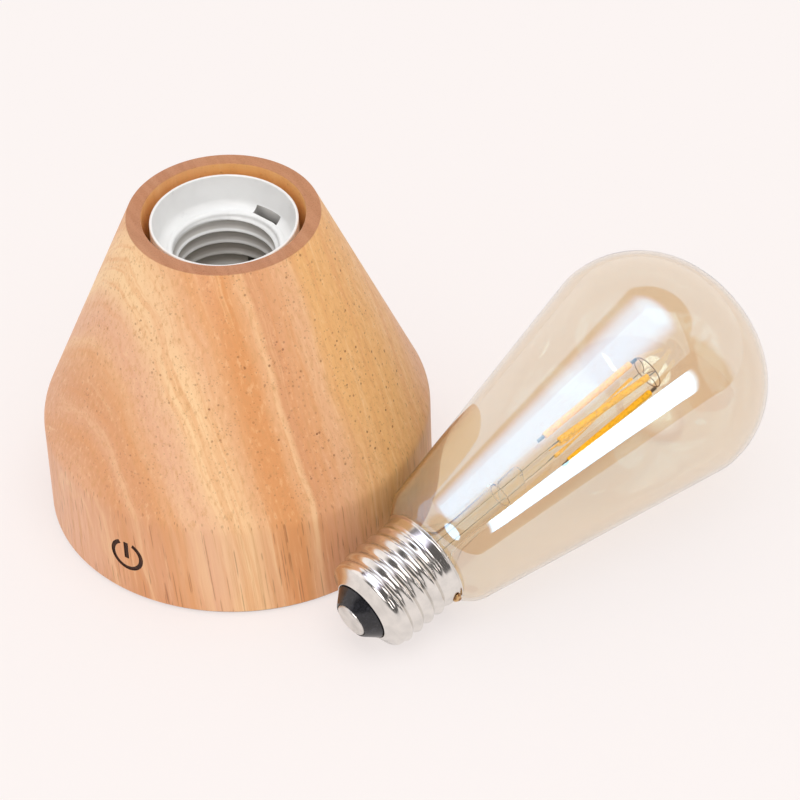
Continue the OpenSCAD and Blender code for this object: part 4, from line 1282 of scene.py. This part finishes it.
class LAMP_OT_finish_parts(bpy.types.Operator):
    """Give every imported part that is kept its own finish"""

    bl_idname = "lamp.finish_parts"
    bl_label = "Finish the kept parts"

    def execute(self, context):
        record = frame["record"]
        looks = {look["slot"]: look for look in record["materials"]}
        slots = {part["node"]: part["material_slot"] for part in record["subparts"]}
        made = {}
        for node, part in frame["nodes"].items():
            slot = slots[node]
            if slot not in made:
                look = looks[slot]
                made[slot] = self.finish_for(slot, look["class"], look["base_color"][:3])
            part.data.materials.clear()
            part.data.materials.append(made[slot])
            smooth(part)
        return {"FINISHED"}

    def finish_for(self, slot, kind, tint):
        name = "kept_" + slot
        if kind == "glass":
            return glass_finish(name, tint)
        if slot.startswith("board"):
            return board_finish()
        if kind in ("brass", "brushed_steel", "chrome", "aluminium"):
            return metal_finish(name, tint)
        return moulded_finish(name, tint, 0.5)


class LAMP_OT_set_stage(bpy.types.Operator):
    """Lay the floor and set up the lamp, the camera and the surroundings"""

    bl_idname = "lamp.set_stage"
    bl_label = "Set the stage"

    # The corners of the narrow window that the glass reflects, as directions from the object.
    STRIP = (
        (0.768, -0.342, 0.541),
        (0.891, -0.320, 0.322),
        (0.946, -0.232, 0.228),
        (0.817, -0.270, 0.510),
    )

    def execute(self, context):
        stage = settings().stage
        context.scene.view_settings.view_transform = "Standard"
        self.camera(context, stage)
        self.floor(stage)
        self.lamp(context, stage)
        self.surroundings(context, stage)
        return {"FINISHED"}

    def camera(self, context, stage):
        turn = Matrix.Rotation(stage.round, 3, "Z")
        level = Vector((math.sin(stage.pan), math.cos(stage.pan), 0))
        ahead = level * math.cos(stage.tip) - UP * math.sin(stage.tip)
        right = Vector((math.cos(stage.pan), -math.sin(stage.pan), 0))
        above = right.cross(ahead)
        across = right * math.cos(stage.roll) + above * math.sin(stage.roll)
        upright = above * math.cos(stage.roll) - right * math.sin(stage.roll)
        axes = Matrix((turn @ across, turn @ upright, turn @ -ahead)).transposed().to_4x4()
        spot = turn @ Vector((0, -stage.distance, stage.height))
        view = bpy.data.cameras.new("front_view")
        view.lens = stage.lens
        view.sensor_width = 36
        view.clip_start = 0.01
        view.clip_end = 50
        seat = bpy.data.objects.new("front_view", view)
        seat.matrix_world = Matrix.Translation(spot) @ axes
        context.scene.collection.objects.link(seat)
        context.scene.camera = seat

    def floor(self, stage):
        """A floor that gives back light as paper does, and looks as pale as the backdrop."""
        deselect()
        bpy.ops.mesh.primitive_plane_add(size=8, location=(0, 0, 0))
        floor = bpy.context.object
        name_piece(floor, "studio_floor")
        material, s = new_finish("floor_paper")
        paper = s.principled(base_color=stage.floor, roughness=0.9, specular_ior_level=0.0)
        pale = s.add("ShaderNodeEmission", sockets={"Color": stage.floor, "Strength": 1.0})
        rays = [s.ray(kind) for kind in ("Camera", "Glossy", "Transmission")]
        seen = rays[0].math("MAXIMUM", rays[1]).math("MAXIMUM", rays[2])
        s.finish(s.add("ShaderNodeMixShader", sockets={0: seen * 0.66, 1: paper, 2: pale}))
        floor.data.materials.append(material)

    def lamp(self, context, stage):
        """A large square lamp overhead, left out of reflections."""
        flat = math.cos(stage.lamp_rise)
        away = Vector((math.cos(stage.lamp_side), math.sin(stage.lamp_side), 0)) * flat
        away.z = math.sin(stage.lamp_rise)
        light = bpy.data.lights.new("overhead", "AREA")
        light.shape = "RECTANGLE"
        light.size = light.size_y = stage.lamp_size
        light.energy = stage.lamp_light * math.pi * stage.lamp_size**2
        seat = bpy.data.objects.new("overhead", light)
        seat.location = Vector((0.02, 0.0, 0.04)) + away * stage.lamp_far
        seat.rotation_euler = away.to_track_quat("Z", "Y").to_euler()
        seat.visible_glossy = False
        context.scene.collection.objects.link(seat)

    def surroundings(self, context, stage):
        """A pale backdrop for the camera, and a studio with its windows for what reflects."""
        world = context.scene.world or bpy.data.worlds.new("studio")
        context.scene.world = world
        world.use_nodes = True
        s = Shader(world.node_tree)
        way = s.add("ShaderNodeTexCoord", output=0)

        def toward(direction):
            return s.add(
                "ShaderNodeVectorMath", {"operation": "DOT_PRODUCT"}, {0: way, 1: direction}, 1
            )

        height = toward((0, 0, 1))
        backdrop = toward((-0.616, 0.788, 0)).step(-0.35, -0.15) * height.step(0.80, 0.84, 1, 0)
        window = toward((-0.08, -0.18, 0.98))
        seen = 0.13 + backdrop * 1.05 + window.step(0.87, 0.992) * stage.window
        seen = seen + self.narrow_window(toward) * stage.strip
        seen = seen + toward((0.176, -0.830, 0.530)).step(0.958, 0.970) * (stage.strip * 0.6)
        ambient = 0.73
        glossy, camera = s.ray("Glossy"), s.ray("Camera")
        plain = camera.math("MAXIMUM", s.ray("Transmission") * (1 - glossy))
        level = glossy * seen + (1 - glossy) * ambient
        strength = plain + (1 - plain) * level
        shade = s.mix(plain.math("MAXIMUM", glossy), (1, 1, 1), stage.floor)
        shade = s.mix(window.step(0.87, 0.93) * glossy, shade, (0.80, 0.88, 1.0))
        fringe = window.step(0.86, 0.90) * window.step(0.90, 0.97, 1, 0)
        shade = s.mix(fringe * glossy * 0.6, shade, (0.95, 0.74, 1.0))
        sockets = {"Color": shade, "Strength": strength}
        s.finish(s.add("ShaderNodeBackground", sockets=sockets), "ShaderNodeOutputWorld")

    def narrow_window(self, toward):
        """1 in the directions between the narrow window's four corners."""
        corners = [Vector(corner) for corner in self.STRIP]
        middle = sum(corners, Vector()) / 4
        corners = [middle.lerp(corner, 1.15) for corner in corners]
        inside = 1
        for start, end in zip(corners, corners[1:] + corners[:1]):
            edge = start.cross(end).normalized()
            edge *= math.copysign(1, edge.dot(middle))
            inside = toward(edge).step(-0.004, 0.004) * inside
        return inside


class LampSettings(bpy.types.PropertyGroup):
    """All of the lamp's settings."""

    wood: PointerProperty(type=WoodSettings)
    holder: PointerProperty(type=HolderSettings)
    bulb: PointerProperty(type=BulbSettings)
    stage: PointerProperty(type=StageSettings)


STEPS = (
    LAMP_OT_finish_parts,
    LAMP_OT_turn_body,
    LAMP_OT_make_foot,
    LAMP_OT_mould_lampholder,
    LAMP_OT_blow_glass,
    LAMP_OT_form_cap,
    LAMP_OT_fit_filaments,
    LAMP_OT_set_stage,
)


class LAMP_PT_sidebar(bpy.types.Panel):
    """Lists the steps that build the lamp."""

    bl_idname = "LAMP_PT_sidebar"
    bl_label = "Bare bulb table lamp"
    bl_space_type = "VIEW_3D"
    bl_region_type = "UI"
    bl_category = "Lamp"

    def draw(self, context):
        for step in STEPS:
            self.layout.operator(step.bl_idname)


CLASSES = (
    WoodSettings,
    HolderSettings,
    BulbSettings,
    StageSettings,
    LampSettings,
    *STEPS,
    LAMP_PT_sidebar,
)


def register():
    for item in CLASSES:
        bpy.utils.register_class(item)
    bpy.types.Scene.lamp = PointerProperty(type=LampSettings)


def unregister():
    del bpy.types.Scene.lamp
    for item in reversed(CLASSES):
        bpy.utils.unregister_class(item)


def main():
    register()
    for step in STEPS:
        group, name = step.bl_idname.split(".")
        getattr(getattr(bpy.ops, group), name)()


if __name__ == "__main__":
    main()
